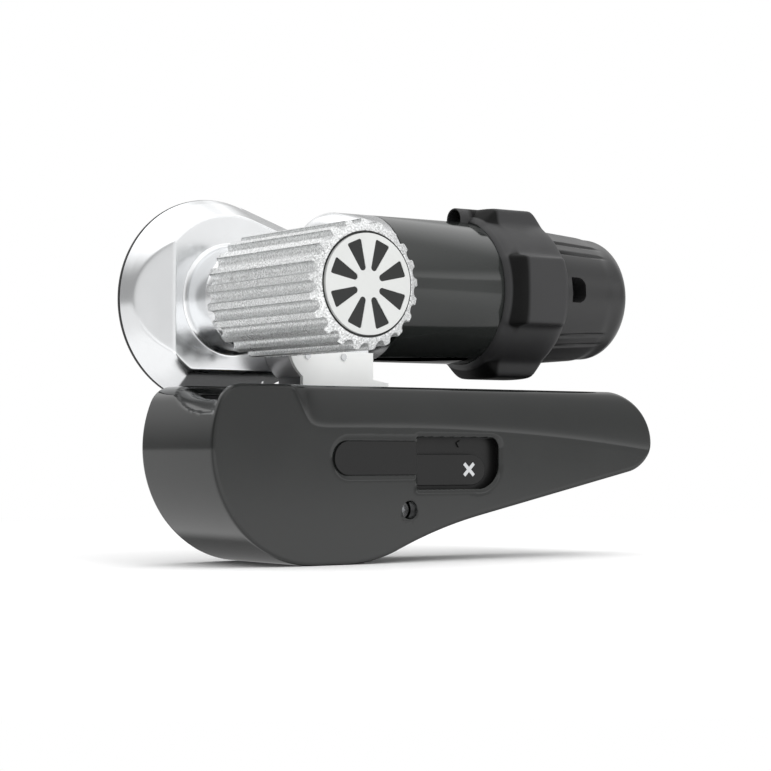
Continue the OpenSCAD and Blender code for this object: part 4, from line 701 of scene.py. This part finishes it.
def make_collar():
    """Collar: a closed ring. Its outside is the larger of a circle and four flat-topped lobes, and no
    larger than a profile along the motor with a low front edge, a ramp and a sloping end. The lobes lie
    at the back, the top, the front and the bottom."""
    angle = full_turn(480)
    off = np.radians(np.abs((np.degrees(angle) + 45) % 90 - 45))
    side = LOBE_HALF / np.maximum(np.sin(off), LEAST_SINE)
    lobe = soft_min(LOBE_TOP / np.cos(off), side, LOBE_BLEND)
    lobed = -soft_min(-lobe, -RING_R, RING_BLEND)
    last = collar_end - collar_x
    ramp_end = RAMP_START + RAMP_LEN
    corner = math.hypot(LOBE_TOP, LOBE_HALF) + LOBE_SPARE
    x = runs((0, COLLAR_EDGE, 4), (1, ramp_end + 4, 32), (ramp_end + 5, last, 26))
    limit = np.interp(
        x, [0, COLLAR_EDGE, RAMP_START, RAMP_START + 1, ramp_end, last - COLLAR_SLOPE, last],
        [motor_r + COLLAR_EDGE, motor_r + LIP_RISE, RING_R + 0.5, RING_R + 1, corner, corner, RING_R - 1])
    outer = soft_min(lobed[None, :], limit[:, None], COLLAR_BLEND)
    radii = np.concatenate([outer, np.full((2, len(angle)), motor_r + PLAY)])
    places = np.concatenate([collar_x + x, [collar_end, collar_x]])[:, None]
    points = round_x(angle, radii, places)
    faces = grid_faces(len(points), len(angle), close_rows=True)
    add_grid("rubber_collar", points, faces, "drive_unit", "collar_rubber", ["motor_collar"], sharp=50)


def tunnel_outline(inset):
    """Half-pipe outline in Y and Z: two upright sides and two round upper corners."""
    half = TUNNEL_HALF - inset
    round_r = TUNNEL_ROUND - inset
    high = motor_z + LOBE_TOP - TUNNEL_DROP - inset
    low = motor_z + motor_r - TUNNEL_ROUND
    bend = quarter_turn(9)
    y = half - round_r + round_r * np.cos(bend)
    z = high - round_r + round_r * np.sin(bend)
    y = np.concatenate([[half], y, -y[::-1], [-half]])
    z = np.concatenate([[low], z, z[::-1], [low]])
    return np.stack([motor_y + y, z], axis=-1)


def make_tunnel():
    """Cable tunnel on the collar: its outline carried along outside, and back inside to a blind end."""
    outer = tunnel_outline(0)
    rim = tunnel_outline(TUNNEL_RIM)
    inner = tunnel_outline(TUNNEL_WALL)
    first = tube_x + TUNNEL_START
    blind = collar_x + TUNNEL_DEPTH
    last = collar_x + TUNNEL_END
    stations = [
        (outer.mean(axis=0) + 0 * outer, last), (outer, last), (outer, first + TUNNEL_LIP[0]),
        (rim, first), (inner, first + TUNNEL_LIP[1]), (inner, blind),
        (inner.mean(axis=0) + 0 * inner, blind)]
    points = np.array([np.column_stack([np.full(len(flat), x), flat]) for flat, x in stations])
    faces = grid_faces(len(stations), len(outer))
    add_grid("collar_cable_tunnel", points, faces, "drive_unit", "collar_rubber", sharp=50)


def make_end_cap():
    """End cap: a tapered round end, pads parted by two grooves at each diagonal that end before the round
    end, and a cable inlet with a round right side sunk into the front pad."""
    angle = np.radians(runs((-18, 22, 90), (23, 341, 380))) + np.pi
    last = cap_end - tube_end
    bend_start = last - END_ROUND
    right = last - INLET_END
    left = right - INLET_LEN
    x = runs((1, left - 2.5, 10), (left - 2, right + 2, 44), (right + 3, bend_start, 16))
    x = np.concatenate([x, last - END_ROUND * (1 - np.sin(quarter_turn(18)[1:]))])
    turn = np.sqrt(1 - np.clip((x - bend_start) / END_ROUND, 0, 1) ** 2)
    past = np.maximum(x + tube_end - collar_end, 0)
    base = END_R - END_TAPER * past - END_ROUND * (1 - turn)
    tilt = np.degrees(np.arcsin(np.abs(np.sin(angle))))
    first_groove, last_groove = PAD_GROOVES
    between = soft_step(tilt, first_groove, last_groove) * soft_step(-tilt, -last_groove, -first_groove)
    pads = 1 - DIAGONAL_DIP * between
    for groove in PAD_GROOVES:
        pads = pads * soft_step(np.abs(tilt - groove), GROOVE_FLOOR, GROOVE_HALF)
    fade = (1 - PAD_TAPER * past) * (1 - soft_step(x, PAD_LAST - PAD_STEP, PAD_LAST + PAD_STEP))
    radii = base[:, None] + (PAD_R - END_R) * pads[None, :] * fade[:, None]
    half = INLET_HEIGHT / 2
    tall = np.abs(radii * np.sin(angle)[None, :] + INLET_DROP - half) - half
    beside = np.maximum((x - right)[:, None] + INLET_ROUND, 0)
    corner = np.hypot(beside, np.maximum(tall + INLET_ROUND, 0)) - INLET_ROUND
    outside = np.maximum(np.maximum(left - x, x - right)[:, None], np.maximum(tall, corner))
    facing = np.cos(angle)[None, :] < 0
    radii = radii - INLET_DEPTH * np.where(facing, 1 - soft_step(outside, *INLET_EDGE), 0)
    rows = np.concatenate([np.zeros((1, len(angle))), radii, np.zeros((1, len(angle)))])
    places = np.concatenate([[x[0]], x, [last]])[:, None] + tube_end
    points = round_x(angle, rows, places)
    faces = grid_faces(len(rows), len(angle))
    add_grid("motor_end_cap", points, faces, "drive_unit", "dark_plastic", ["end_cap"])


def paint_shade_on_ramps():
    """Painted shade on the rubber in the hollows before the lobes: darker and duller there, by the place
    along the motor and the distance from its axis."""
    material = finishes["collar_rubber"]
    tree = material.node_tree
    x = object_place(tree, "X")
    y = add_math(tree, "SUBTRACT", object_place(tree, "Y"), float(motor_y * MM))
    z = add_math(tree, "SUBTRACT", object_place(tree, "Z"), float(motor_z * MM))
    far = add_math(tree, "POWER", y, 2.0)
    far = add_math(tree, "SQRT", add_math(tree, "ADD", add_math(tree, "POWER", z, 2.0), far), 0.0)
    first = collar_x + RAMP_START
    last = first + RAMP_LEN
    begins = add_range(tree, x, 0, 1, (first + RAMP_SHADE_START[0]) * MM, (first + RAMP_SHADE_START[1]) * MM)
    ends = add_range(tree, x, 1, 0, (last + RAMP_SHADE_END) * MM, last * MM)
    mask = add_math(tree, "MULTIPLY", begins, ends)
    outside = add_range(tree, far, 0, 1, RING_R * MM, (RING_R + RAMP_SHADE_RISE) * MM)
    # Painted shade: darker, duller rubber on the ramps, where the lobes' left faces lie in shade
    dull_part(material, add_math(tree, "MULTIPLY", mask, outside), RAMP_PAINTED_SHADE, RAMP_SHADE_GLOSS)


def shade_inserts():
    """Badge, slider and tray duller than the end cap, by the place along X."""
    material = finishes["dark_plastic"]
    tree = material.node_tree
    first, last = INSERT_LAST
    mask = add_range(tree, object_place(tree, "X"), 1, 0, first * MM, last * MM)
    dull_part(material, mask, INSERT_TINT, INSERT_GLOSS)


paint_shade_on_ramps()
shade_inserts()
make_tube()
make_collar()
make_tunnel()
make_end_cap()


# Housing
BIG_X = -63.0
BIG_Z = 6.0
BIG_R = 66.0
SHOULDER_R = 15.0
TAIL_X = 163.0
TAIL_R = 25.0
TAIL_SLOPE = math.radians(12.3)
BELLY_R = 94.0
BELLY_SLOPE = math.radians(23.3)
WAIST_R = 318.0
EDGE_R = 2.0
CREASE_X = -10.0
CREASE_Z = 17.6
CREASE_BEND = 3.487e-4
CREASE_ROUND = 1.0
CREASE_TRIM = 0.25
LEAN_LOW = 0.32
LEAN_TOP = 0.6
LEAN_POWER = 5
BLEND_FROM = (-66.3, 14.3)
BLEND_LEAN = (0.55, 0.27)
BLEND_ROUND = 2.5
BADGE_X = (-40.4, 6.6)
BADGE_Z = (-10.0, 10.0)
BADGE_SHIFT = (2.6, 0, -2.0)
SEAT_PLAY = 0.05
SEAT_EDGE = (-0.3, 0.9)
SLIDER_SHIFT = (7.0, 0, 0)
SLIDER_SCALE = (1, 1, 0.865)
CROSS_SHIFT = (4.4, 0, -1.2)
WINDOW_X = (7.0, 66.0)
WINDOW_Z = (-18.0, 12.0)
WINDOW_ROUND = (6.0, 14.5)
WINDOW_LEFT_ROUND = 1.0
RIM_WIDTH = 2.7
RIM_DEPTH = 1.0
SCREW_X = 1.2
SCREW_Z = -29.8
SCREW_HOLE_R = 5.4
WELL_DEPTH = 11.0
WELL_TOP = 0.3
WELL_EDGE = 0.6
WELL_BORE_R = 2.6
WELL_BASE = 2.0
WELL_WALL = 1.6
SLOT_X = (-83.4, 18.0)
SLOT_Y = (-39.0, -6.0)
SCOOP_Y = (-78.6, -24.0)
SCOOP_Z = (23.9, 37.0)
SCOOP_REACH = 1.4
SCOOP_CURVE = 3
SCOOP_FRONT = -75.2
SCOOP_RIGHT = -84.0
SCOOP_STEEP = (0.85, 3.0)
SCOOP_STEP = 0.9
SCOOP_EDGE = (0.5, 0.7)
SCOOP_FALL = 0.45
SCOOP_FLOOR = 9.0
WALL_GAP = 0.5
WALL_NEAR = (0.15, 0.25, 0.34, 0.67)
WALL_STEP = 0.1
SKIN = 1.0
# Foot of the curved leg: partly the leg's real foot, partly a dark block that stands in for the shade in
# the gap below it
FOOT_X = (-43.6, -35.6)
FOOT_Y = (-33.6, -9.0)
FOOT_Z = (30.0, 47.6)
FOOT_ROUND = 0.5


def upper_outline(x):
    """Points and outward normals of the upper outline at x: big circle, shoulder, flat top, tail."""
    shoulder_z = top_z - SHOULDER_R
    reach = BIG_R - SHOULDER_R
    shoulder_x = BIG_X - math.sqrt(reach ** 2 - (shoulder_z - BIG_Z) ** 2)
    touch_x = BIG_X + (shoulder_x - BIG_X) * BIG_R / reach
    left = [x < touch_x, x < shoulder_x]
    centre_x = np.select(left + [x < TAIL_X], [BIG_X + 0 * x, shoulder_x, x], TAIL_X)
    centre_z = np.select(left, [BIG_Z + 0 * x, shoulder_z], top_z - TAIL_R)
    radius = np.select(left, [BIG_R + 0 * x, SHOULDER_R], TAIL_R)
    side = x - centre_x
    up = np.sqrt(np.maximum(radius ** 2 - side ** 2, 0))
    return np.stack([x, centre_z + up], axis=-1), np.stack([side, up], axis=-1) / radius[:, None]


def lower_outline(x):
    """Points and outward normals of the lower outline at x: big circle, flat, belly, waist, slanted
    line, tail."""
    tail_z = top_z - TAIL_R
    belly_rise = BELLY_R * (1 - math.cos(BELLY_SLOPE))
    rise = belly_rise + WAIST_R * (math.cos(TAIL_SLOPE) - math.cos(BELLY_SLOPE))
    run = (BELLY_R + WAIST_R) * math.sin(BELLY_SLOPE) - WAIST_R * math.sin(TAIL_SLOPE)
    line_z = bottom_z + rise
    line_x = TAIL_X + ((line_z - tail_z) * math.cos(TAIL_SLOPE) + TAIL_R) / math.sin(TAIL_SLOPE)
    belly_x = line_x - run
    waist_x = line_x + WAIST_R * math.sin(TAIL_SLOPE)
    waist_z = line_z - WAIST_R * math.cos(TAIL_SLOPE)
    bend_x = belly_x + BELLY_R * math.sin(BELLY_SLOPE)
    tail_start = TAIL_X + TAIL_R * math.sin(TAIL_SLOPE)
    zones = [x < BIG_X, x < belly_x, x < bend_x, x < line_x, x < tail_start]
    centre_x = np.select(zones, [BIG_X + 0 * x, x, belly_x, waist_x, x], TAIL_X)
    radius = np.select(zones, [BIG_R + 0 * x, 1, BELLY_R, -WAIST_R, 1], TAIL_R)
    side = x - centre_x
    down = np.sqrt(np.maximum(radius ** 2 - side ** 2, 0)) * np.sign(radius)
    heights = [BIG_Z + 0 * x, bottom_z + 1, bottom_z + BELLY_R, waist_z, 0]
    centre_z = np.select(zones, heights, tail_z)
    slanted = (x >= line_x) & (x < tail_start)
    z = np.where(slanted, line_z + (x - line_x) * math.tan(TAIL_SLOPE), centre_z - down)
    normal = np.stack([side, -down], axis=-1) / radius[:, None]
    tail_normal = np.array([math.sin(TAIL_SLOPE), -math.cos(TAIL_SLOPE)])
    return np.stack([x, z], axis=-1), np.where(slanted[:, None], tail_normal, normal)


def from_badge(x, z):
    """Distance from the badge's outline, a bar with a round left end, negative inside."""
    low, high = BADGE_Z
    middle = (low + high) / 2
    half = (high - low) / 2
    side = np.maximum(BADGE_X[0] - x, x - BADGE_X[1])
    tall = np.abs(z - middle) - half
    bar = np.hypot(np.maximum(side, 0), np.maximum(tall, 0)) + np.minimum(np.maximum(side, tall), 0)
    return np.minimum(bar, np.hypot(x - BADGE_X[0], z - middle) - half)


def from_window(x, z):
    """Distance from the window's outline, a box whose right corners are round, the lower one more,
    negative inside."""
    middle_x = sum(WINDOW_X) / 2
    middle_z = sum(WINDOW_Z) / 2
    corner = np.where(x > middle_x, np.where(z > middle_z, *WINDOW_ROUND), WINDOW_LEFT_ROUND)
    side = np.abs(x - middle_x) - (WINDOW_X[1] - middle_x) + corner
    tall = np.abs(z - middle_z) - (WINDOW_Z[1] - middle_z) + corner
    inside = np.minimum(np.maximum(side, tall), 0)
    return inside + np.hypot(np.maximum(side, 0), np.maximum(tall, 0)) - corner


def from_screw(x, z):
    """Distance from the screw hole's edge, negative inside."""
    return np.hypot(x - SCREW_X, z - SCREW_Z) - SCREW_HOLE_R


def front_place(x, z):
    """Place along Y of the front: a plane, above its arched crease a bevel that leans back ever more and
    fades out at the left, a sloping rim round badge and window, and a flat seat for the badge."""
    crease = CREASE_Z - CREASE_BEND * (x - CREASE_X) ** 2
    tall = top_z - crease
    share = (z - crease) / tall
    steeper = LEAN_TOP / LEAN_POWER * np.maximum(share, 0) ** LEAN_POWER
    lean = tall * (LEAN_LOW * share + steeper)
    fade = BLEND_LEAN[0] * (x - BLEND_FROM[0]) + BLEND_LEAN[1] * (z - BLEND_FROM[1])
    bevel = -soft_min(-soft_min(lean, fade, BLEND_ROUND), 0.0, CREASE_ROUND) - CREASE_TRIM
    badge = from_badge(x, z)
    rim = RIM_DEPTH * (1 - soft_step(np.minimum(badge, from_window(x, z)), 0, RIM_WIDTH))
    seat = (badge_back + SEAT_PLAY - front_y - RIM_DEPTH) * (1 - soft_step(badge, *SEAT_EDGE))
    return front_y + np.maximum(bevel, 0) + rim + seat


def from_scoop(x, y, z):
    """Distance inside the border of the hollow in the left shoulder, whose lower edge curves up to the
    back."""
    share = np.clip((y - SCOOP_Y[0]) / (SCOOP_Y[1] - SCOOP_Y[0]), 0, SCOOP_REACH)
    edge = SCOOP_Z[0] + (SCOOP_Z[1] - SCOOP_Z[0]) * share ** SCOOP_CURVE
    inside = np.minimum(SCOOP_STEEP[0] * (z - edge), SCOOP_STEEP[1] * (y - SCOOP_FRONT))
    return np.minimum(inside, SCOOP_RIGHT - x)


def scoop_depth(inside):
    """Depth of the hollow: a small step at its border, then a floor that falls inwards."""
    fall_from, step_end = SCOOP_EDGE
    return SCOOP_STEP * soft_step(inside, 0, step_end) + SCOOP_FALL * np.maximum(inside - fall_from, 0)


def housing_columns():
    """Places along X of the housing's columns, closer at both round ends and along badge and window."""
    left = BIG_X - BIG_R * np.cos(np.radians(np.linspace(0, 52, 54)))
    middle = runs((left[-1] + 1.6, -58, 24), (-57, 70, 136), (72, 148, 26))
    right = TAIL_X + TAIL_R * np.sin(np.radians(np.linspace(-34, 90, 24)))
    x = np.concatenate([left, middle, right])
    for edge in SLOT_X:
        x[np.abs(x - edge).argmin()] = edge
    return x


def cut_hole(points, keep, distance):
    """Drop the cells of a grid inside an outline, and move the hole's corners onto it."""
    x = points[..., 0]
    z = points[..., 2]
    middle = (points[:-1, :-1] + points[1:, :-1] + points[:-1, 1:] + points[1:, 1:]) / 4
    inside = distance(middle[..., 0], middle[..., 2]) < 0
    keep &= ~inside
    padded = np.pad(inside, 1)
    near = np.stack([padded[:-1, :-1], padded[1:, :-1], padded[:-1, 1:], padded[1:, 1:]])
    edge = near.any(axis=0) & ~near.all(axis=0)
    step = 0.01
    far = distance(x, z)
    slope_x = (distance(x + step, z) - distance(x - step, z)) / (2 * step)
    slope_z = (distance(x, z + step) - distance(x, z - step)) / (2 * step)
    points[..., 0] = np.where(edge, x - far * slope_x, x)
    points[..., 2] = np.where(edge, z - far * slope_z, z)


def make_housing():
    """Housing: a front in columns from the lower to the upper outline, a round edge and a wall back to
    the plate. The front's places come from front_place. The wall is pushed in by scoop_depth, and it is
    open beyond the scoop's floor and in the slot on top."""
    x = housing_columns()
    upper, upper_normal = upper_outline(x)
    lower, lower_normal = lower_outline(x)
    share = runs((0, 0.17, 9), (0.18, 0.76, 58), (0.78, 1, 15))
    top = upper - EDGE_R * upper_normal
    low = lower - EDGE_R * lower_normal
    flat = low[None] + (top - low)[None] * share[:, None, None]
    front = np.stack([flat[..., 0], 0 * flat[..., 0], flat[..., 1]], axis=-1)
    keep = np.ones((len(share) - 1, len(x) - 1), dtype=bool)
    cut_hole(front, keep, from_window)
    cut_hole(front, keep, from_screw)
    front[..., 1] = front_place(front[..., 0], front[..., 2])
    front_cells = grid_faces(len(share), len(x), close_cols=False)[keep.ravel()]

    ring = np.concatenate([upper, lower[-2:0:-1]])
    normal = np.concatenate([upper_normal, lower_normal[-2:0:-1]])
    bend = quarter_turn(7)
    inset = EDGE_R * (1 - np.sin(bend))
    edge = ring[None] - inset[:, None, None] * normal[None]
    edge_y = front_place(edge[..., 0], edge[..., 1]) + EDGE_R * (1 - np.cos(bend))[:, None]
    slot_front, slot_back = SLOT_Y
    rows = runs((-66, slot_front, 16), (slot_front + 1.8, -17, 11))
    rows = np.concatenate([rows, [-12, slot_back, -1, -0.2]])
    first = np.maximum(rows[0], edge_y[-1] + WALL_GAP)
    near = edge_y[-1] + (first - edge_y[-1]) * np.array(WALL_NEAR)[:, None]
    rows = np.maximum(rows[:, None], first + WALL_STEP * np.arange(len(rows))[:, None])
    wall_y = np.concatenate([near, rows])
    inside = from_scoop(ring[None, :, 0], wall_y, ring[None, :, 1])
    wall = ring[None] - scoop_depth(inside)[..., None] * normal[None]
    side = np.concatenate([edge, wall])
    side_y = np.concatenate([edge_y, wall_y])
    inside = np.concatenate([0 * edge_y, inside])
    side_points = np.stack([side[..., 0], side_y, side[..., 1]], axis=-1)
    side_cells = grid_faces(len(side_points), len(ring))
    middle_x = ring[side_cells[:, :2] % len(ring), 0].mean(axis=1)
    middle_y = side_y.ravel()[side_cells].mean(axis=1)
    in_slot = ring[side_cells[:, 0] % len(ring), 1] > top_z - SAME_PLACE
    in_slot &= (middle_x > SLOT_X[0]) & (middle_x < SLOT_X[1])
    in_slot &= (middle_y > slot_front) & (middle_y < slot_back)
    in_scoop = inside.ravel()[side_cells].min(axis=1) > SCOOP_FLOOR
    side_cells = side_cells[~(in_slot | in_scoop)] + front.size // 3

    points = np.concatenate([front.reshape(-1, 3), side_points.reshape(-1, 3)])
    cells = np.concatenate([front_cells, side_cells])
    piece = add_grid(
        "housing_shell", points, cells, "base", "housing_plastic", ["housing_cover"], sharp=35)
    thick = piece.modifiers.new("wall", "SOLIDIFY")
    thick.thickness = SKIN * MM
    thick.offset = -1


def make_screw_well():
    """Well for the cover screw: a closed ring profile turned round the screw's axis."""
    lip_y = front_y + WELL_TOP
    floor_y = front_y + WELL_DEPTH
    base_y = floor_y + WELL_BASE
    outer_r = SCREW_HOLE_R + WELL_WALL
    profile = np.array([
        (SCREW_HOLE_R + WELL_EDGE, lip_y), (SCREW_HOLE_R, lip_y + WELL_EDGE), (SCREW_HOLE_R, floor_y),
        (WELL_BORE_R, floor_y), (WELL_BORE_R, base_y), (outer_r, base_y), (outer_r, lip_y)])
    angle = full_turn(64)
    radii = profile[:, :1] * np.ones_like(angle)
    points = round_y(angle, radii, profile[:, 1:], (SCREW_X, SCREW_Z))
    faces = grid_faces(len(profile), len(angle), close_rows=True)
    add_grid("screw_well", points, faces, "base", "housing_plastic")


def make_leg_foot_and_gap_shade():
    """Dark foot of the curved leg, carried down into the gap below it so that its dark finish stands in
    for the shade there: a block with its edges rounded, a rounded box outline carried up.
    """
    corners = np.radians([45, 135, 225, 315])[:, None]
    turn = (corners + np.radians(np.linspace(-45, 45, 6))[None, :]).ravel()
    reach_x = (FOOT_X[1] - FOOT_X[0]) / 2 - FOOT_ROUND
    reach_y = (FOOT_Y[1] - FOOT_Y[0]) / 2 - FOOT_ROUND
    heights = np.array([FOOT_Z[0], FOOT_Z[0], FOOT_Z[1], FOOT_Z[1]])[:, None]
    filled = np.array([0, 1, 1, 0])[:, None]
    x = sum(FOOT_X) / 2 + filled * (np.sign(np.cos(turn)) * reach_x + FOOT_ROUND * np.cos(turn))
    y = sum(FOOT_Y) / 2 + filled * (np.sign(np.sin(turn)) * reach_y + FOOT_ROUND * np.sin(turn))
    points = np.stack([x, y, np.broadcast_to(heights, x.shape)], axis=-1)
    # Dark block that is the leg's foot and also the painted shade of the gap beneath it
    add_grid("leg_foot", points, grid_faces(len(heights), len(turn)), "drive_unit", "plate_steel")


make_housing()
make_screw_well()
make_leg_foot_and_gap_shade()
adjust(add_softened("badge_plate", "bare_badge", width=0.3), BADGE_SHIFT)
slider = add_softened("indicator_slider", "window_slider", width=0.5)
adjust(slider, SLIDER_SHIFT, SLIDER_SCALE, box_mm("indicator_slider")[0])
adjust(add_softened("indicator_cross", "slider_cross", width=0.4), CROSS_SHIFT)
add_softened("upright_plate", "upright_sheet", width=0.4)
add_softened("curved_leg", "leg_sheet", width=0.5)
add_softened("motor_saddle", "saddle_block", width=0.6)
add_softened("frame_plate", "mounting_plate", width=0.5)


# Stage, light and camera, in metres
FLOOR_HALF = 12.0
FLOOR_FADE = (0.25, 0.8)
FLOOR_COLOUR = (0.95, 0.95, 0.95)
CAMERA_PLACE = Vector((-0.7084, -1.0832, 0.0015))
CAMERA_TURN = math.radians(34.62)
CAMERA_PITCH = math.radians(1.87)
STUDIO_BASE = 0.4
# Each patch: its direction, the cosines where it starts and where it is full, and the light it adds
STUDIO_PATCHES = [
    ((0, 0, 1), 0.3, 1.0, 0.8),
    ((0, 0, -1), 0.0, 0.03, 0.55),
    ((0.568, 0.39, -0.73), 0.86, 0.96, -0.85),
    ((0.568, -0.823, -0.8), 0.8, 0.97, -0.25),
    ((-0.3, 0.5, 0.8), 0.7, 0.95, 0.45),
    ((0, -1, 0), 0.2, 0.9, 0.5),
    ((0.568, -0.823, 0.05), 0.93, 0.995, 0.08),
    ((0.57, 0.55, 0.62), 0.6, 0.95, 0.6),
    ((0.66, 0.69, 0.3), 0.95, 0.995, -0.5),
    ((0.42, 0.84, -0.33), 0.91, 0.96, -0.7),
    ((-0.33, 0.82, 0.46), 0.88, 0.98, 0.35),
    ((0.2, 0.68, 0.7), 0.94, 0.985, -0.6),
    ((-0.61, 0.16, -0.757), 0.85, 0.97, 0.2),
]
STRIP_TOWARD = (0.568, -0.823, 0)
STRIP_SIDES = (0.6, 0.9)
STRIP_LOW = (0.235, 0.25)
STRIP_HIGH = (0.28, 0.45)
STRIP_LIGHT = 1.0
WHITE = (1, 1, 1, 1)
UP = (0, 0, 1)


def make_floor():
    """Pale floor that fades into the white background away from the object."""
    mesh = bpy.data.meshes.new("floor")
    signs = [(-1, -1), (1, -1), (1, 1), (-1, 1)]
    corners = [(x * FLOOR_HALF, y * FLOOR_HALF, bottom_z * MM) for x, y in signs]
    mesh.from_pydata(corners, [], [(0, 1, 2, 3)])
    floor = bpy.data.objects.new("floor", mesh)
    bpy.context.scene.collection.objects.link(floor)
    material, tree, shader, vector = start_finish("pale_floor", FLOOR_COLOUR, 0.0, 0.5)
    shader.inputs["Specular IOR Level"].default_value = 0.0
    reach = tree.nodes.new("ShaderNodeVectorMath")
    reach.operation = "LENGTH"
    tree.links.new(vector, reach.inputs[0])
    white = tree.nodes.new("ShaderNodeEmission")
    white.inputs["Color"].default_value = WHITE
    mix = tree.nodes.new("ShaderNodeMixShader")
    tree.links.new(add_range(tree, reach.outputs["Value"], 0, 1, *FLOOR_FADE), mix.inputs["Fac"])
    tree.links.new(shader.outputs["BSDF"], mix.inputs[1])
    tree.links.new(white.outputs["Emission"], mix.inputs[2])
    tree.links.new(mix.outputs["Shader"], tree.nodes["Material Output"].inputs["Surface"])
    mesh.materials.append(material)
    floor.visible_glossy = False


def add_patch(tree, direction, toward, start, end, strength):
    """A soft patch of light round a direction: its strength within the end's cosine, nothing beyond the
    start's."""
    dot = tree.nodes.new("ShaderNodeVectorMath")
    dot.operation = "DOT_PRODUCT"
    dot.inputs[1].default_value = Vector(toward).normalized()
    tree.links.new(direction, dot.inputs[0])
    return add_range(tree, dot.outputs["Value"], 0, strength, start, end, kind="SMOOTHSTEP")


def make_world():
    """White for what the camera sees, and for the rest an even grey with soft patches that add light or
    take it away, and a low strip of light in front at the right."""
    world = bpy.data.worlds.new("studio")
    bpy.context.scene.world = world
    world.use_nodes = True
    tree = world.node_tree
    direction = tree.nodes.new("ShaderNodeTexCoord").outputs["Generated"]
    total = STUDIO_BASE
    for patch in STUDIO_PATCHES:
        total = add_math(tree, "ADD", add_patch(tree, direction, *patch), total)
    strip = add_patch(tree, direction, UP, *STRIP_LOW, STRIP_LIGHT)
    strip = add_math(tree, "ADD", strip, add_patch(tree, direction, UP, *STRIP_HIGH, -STRIP_LIGHT))
    sides = add_patch(tree, direction, STRIP_TOWARD, *STRIP_SIDES, 1)
    total = add_math(tree, "ADD", total, add_math(tree, "MULTIPLY", strip, sides))
    light = tree.nodes["Background"]
    light.inputs["Color"].default_value = WHITE
    tree.links.new(total, light.inputs["Strength"])
    seen = tree.nodes.new("ShaderNodeBackground")
    seen.inputs["Color"].default_value = WHITE
    path = tree.nodes.new("ShaderNodeLightPath")
    mix = tree.nodes.new("ShaderNodeMixShader")
    tree.links.new(path.outputs["Is Camera Ray"], mix.inputs["Fac"])
    tree.links.new(light.outputs["Background"], mix.inputs[1])
    tree.links.new(seen.outputs["Background"], mix.inputs[2])
    tree.links.new(mix.outputs["Shader"], tree.nodes["World Output"].inputs["Surface"])


def add_lamp(name, spot, aim, size, power):
    """A soft square lamp of a size in metres, aimed at a point."""
    lamp = bpy.data.lights.new(name, "AREA")
    lamp.size = size
    lamp.energy = power
    holder = bpy.data.objects.new(name, lamp)
    holder.location = spot
    holder.rotation_euler = (Vector(aim) - Vector(spot)).to_track_quat("-Z", "Y").to_euler()
    holder.visible_glossy = False
    bpy.context.scene.collection.objects.link(holder)


def make_camera():
    """Long lens from low on the left, at the photograph's angle."""
    data = bpy.data.cameras.new("camera")
    data.lens = 100
    data.sensor_width = 36
    camera = bpy.data.objects.new("camera", data)
    camera.location = CAMERA_PLACE
    forward = Vector((
        math.sin(CAMERA_TURN) * math.cos(CAMERA_PITCH),
        math.cos(CAMERA_TURN) * math.cos(CAMERA_PITCH),
        math.sin(CAMERA_PITCH)))
    camera.rotation_euler = forward.to_track_quat("-Z", "Y").to_euler()
    bpy.context.scene.collection.objects.link(camera)
    bpy.context.scene.camera = camera


make_floor()
make_world()
add_lamp("key", (0.35, -1.1, 1.2), (0, -0.05, 0.05), size=1.0, power=8)
make_camera()
bpy.context.scene.view_settings.view_transform = "Standard"
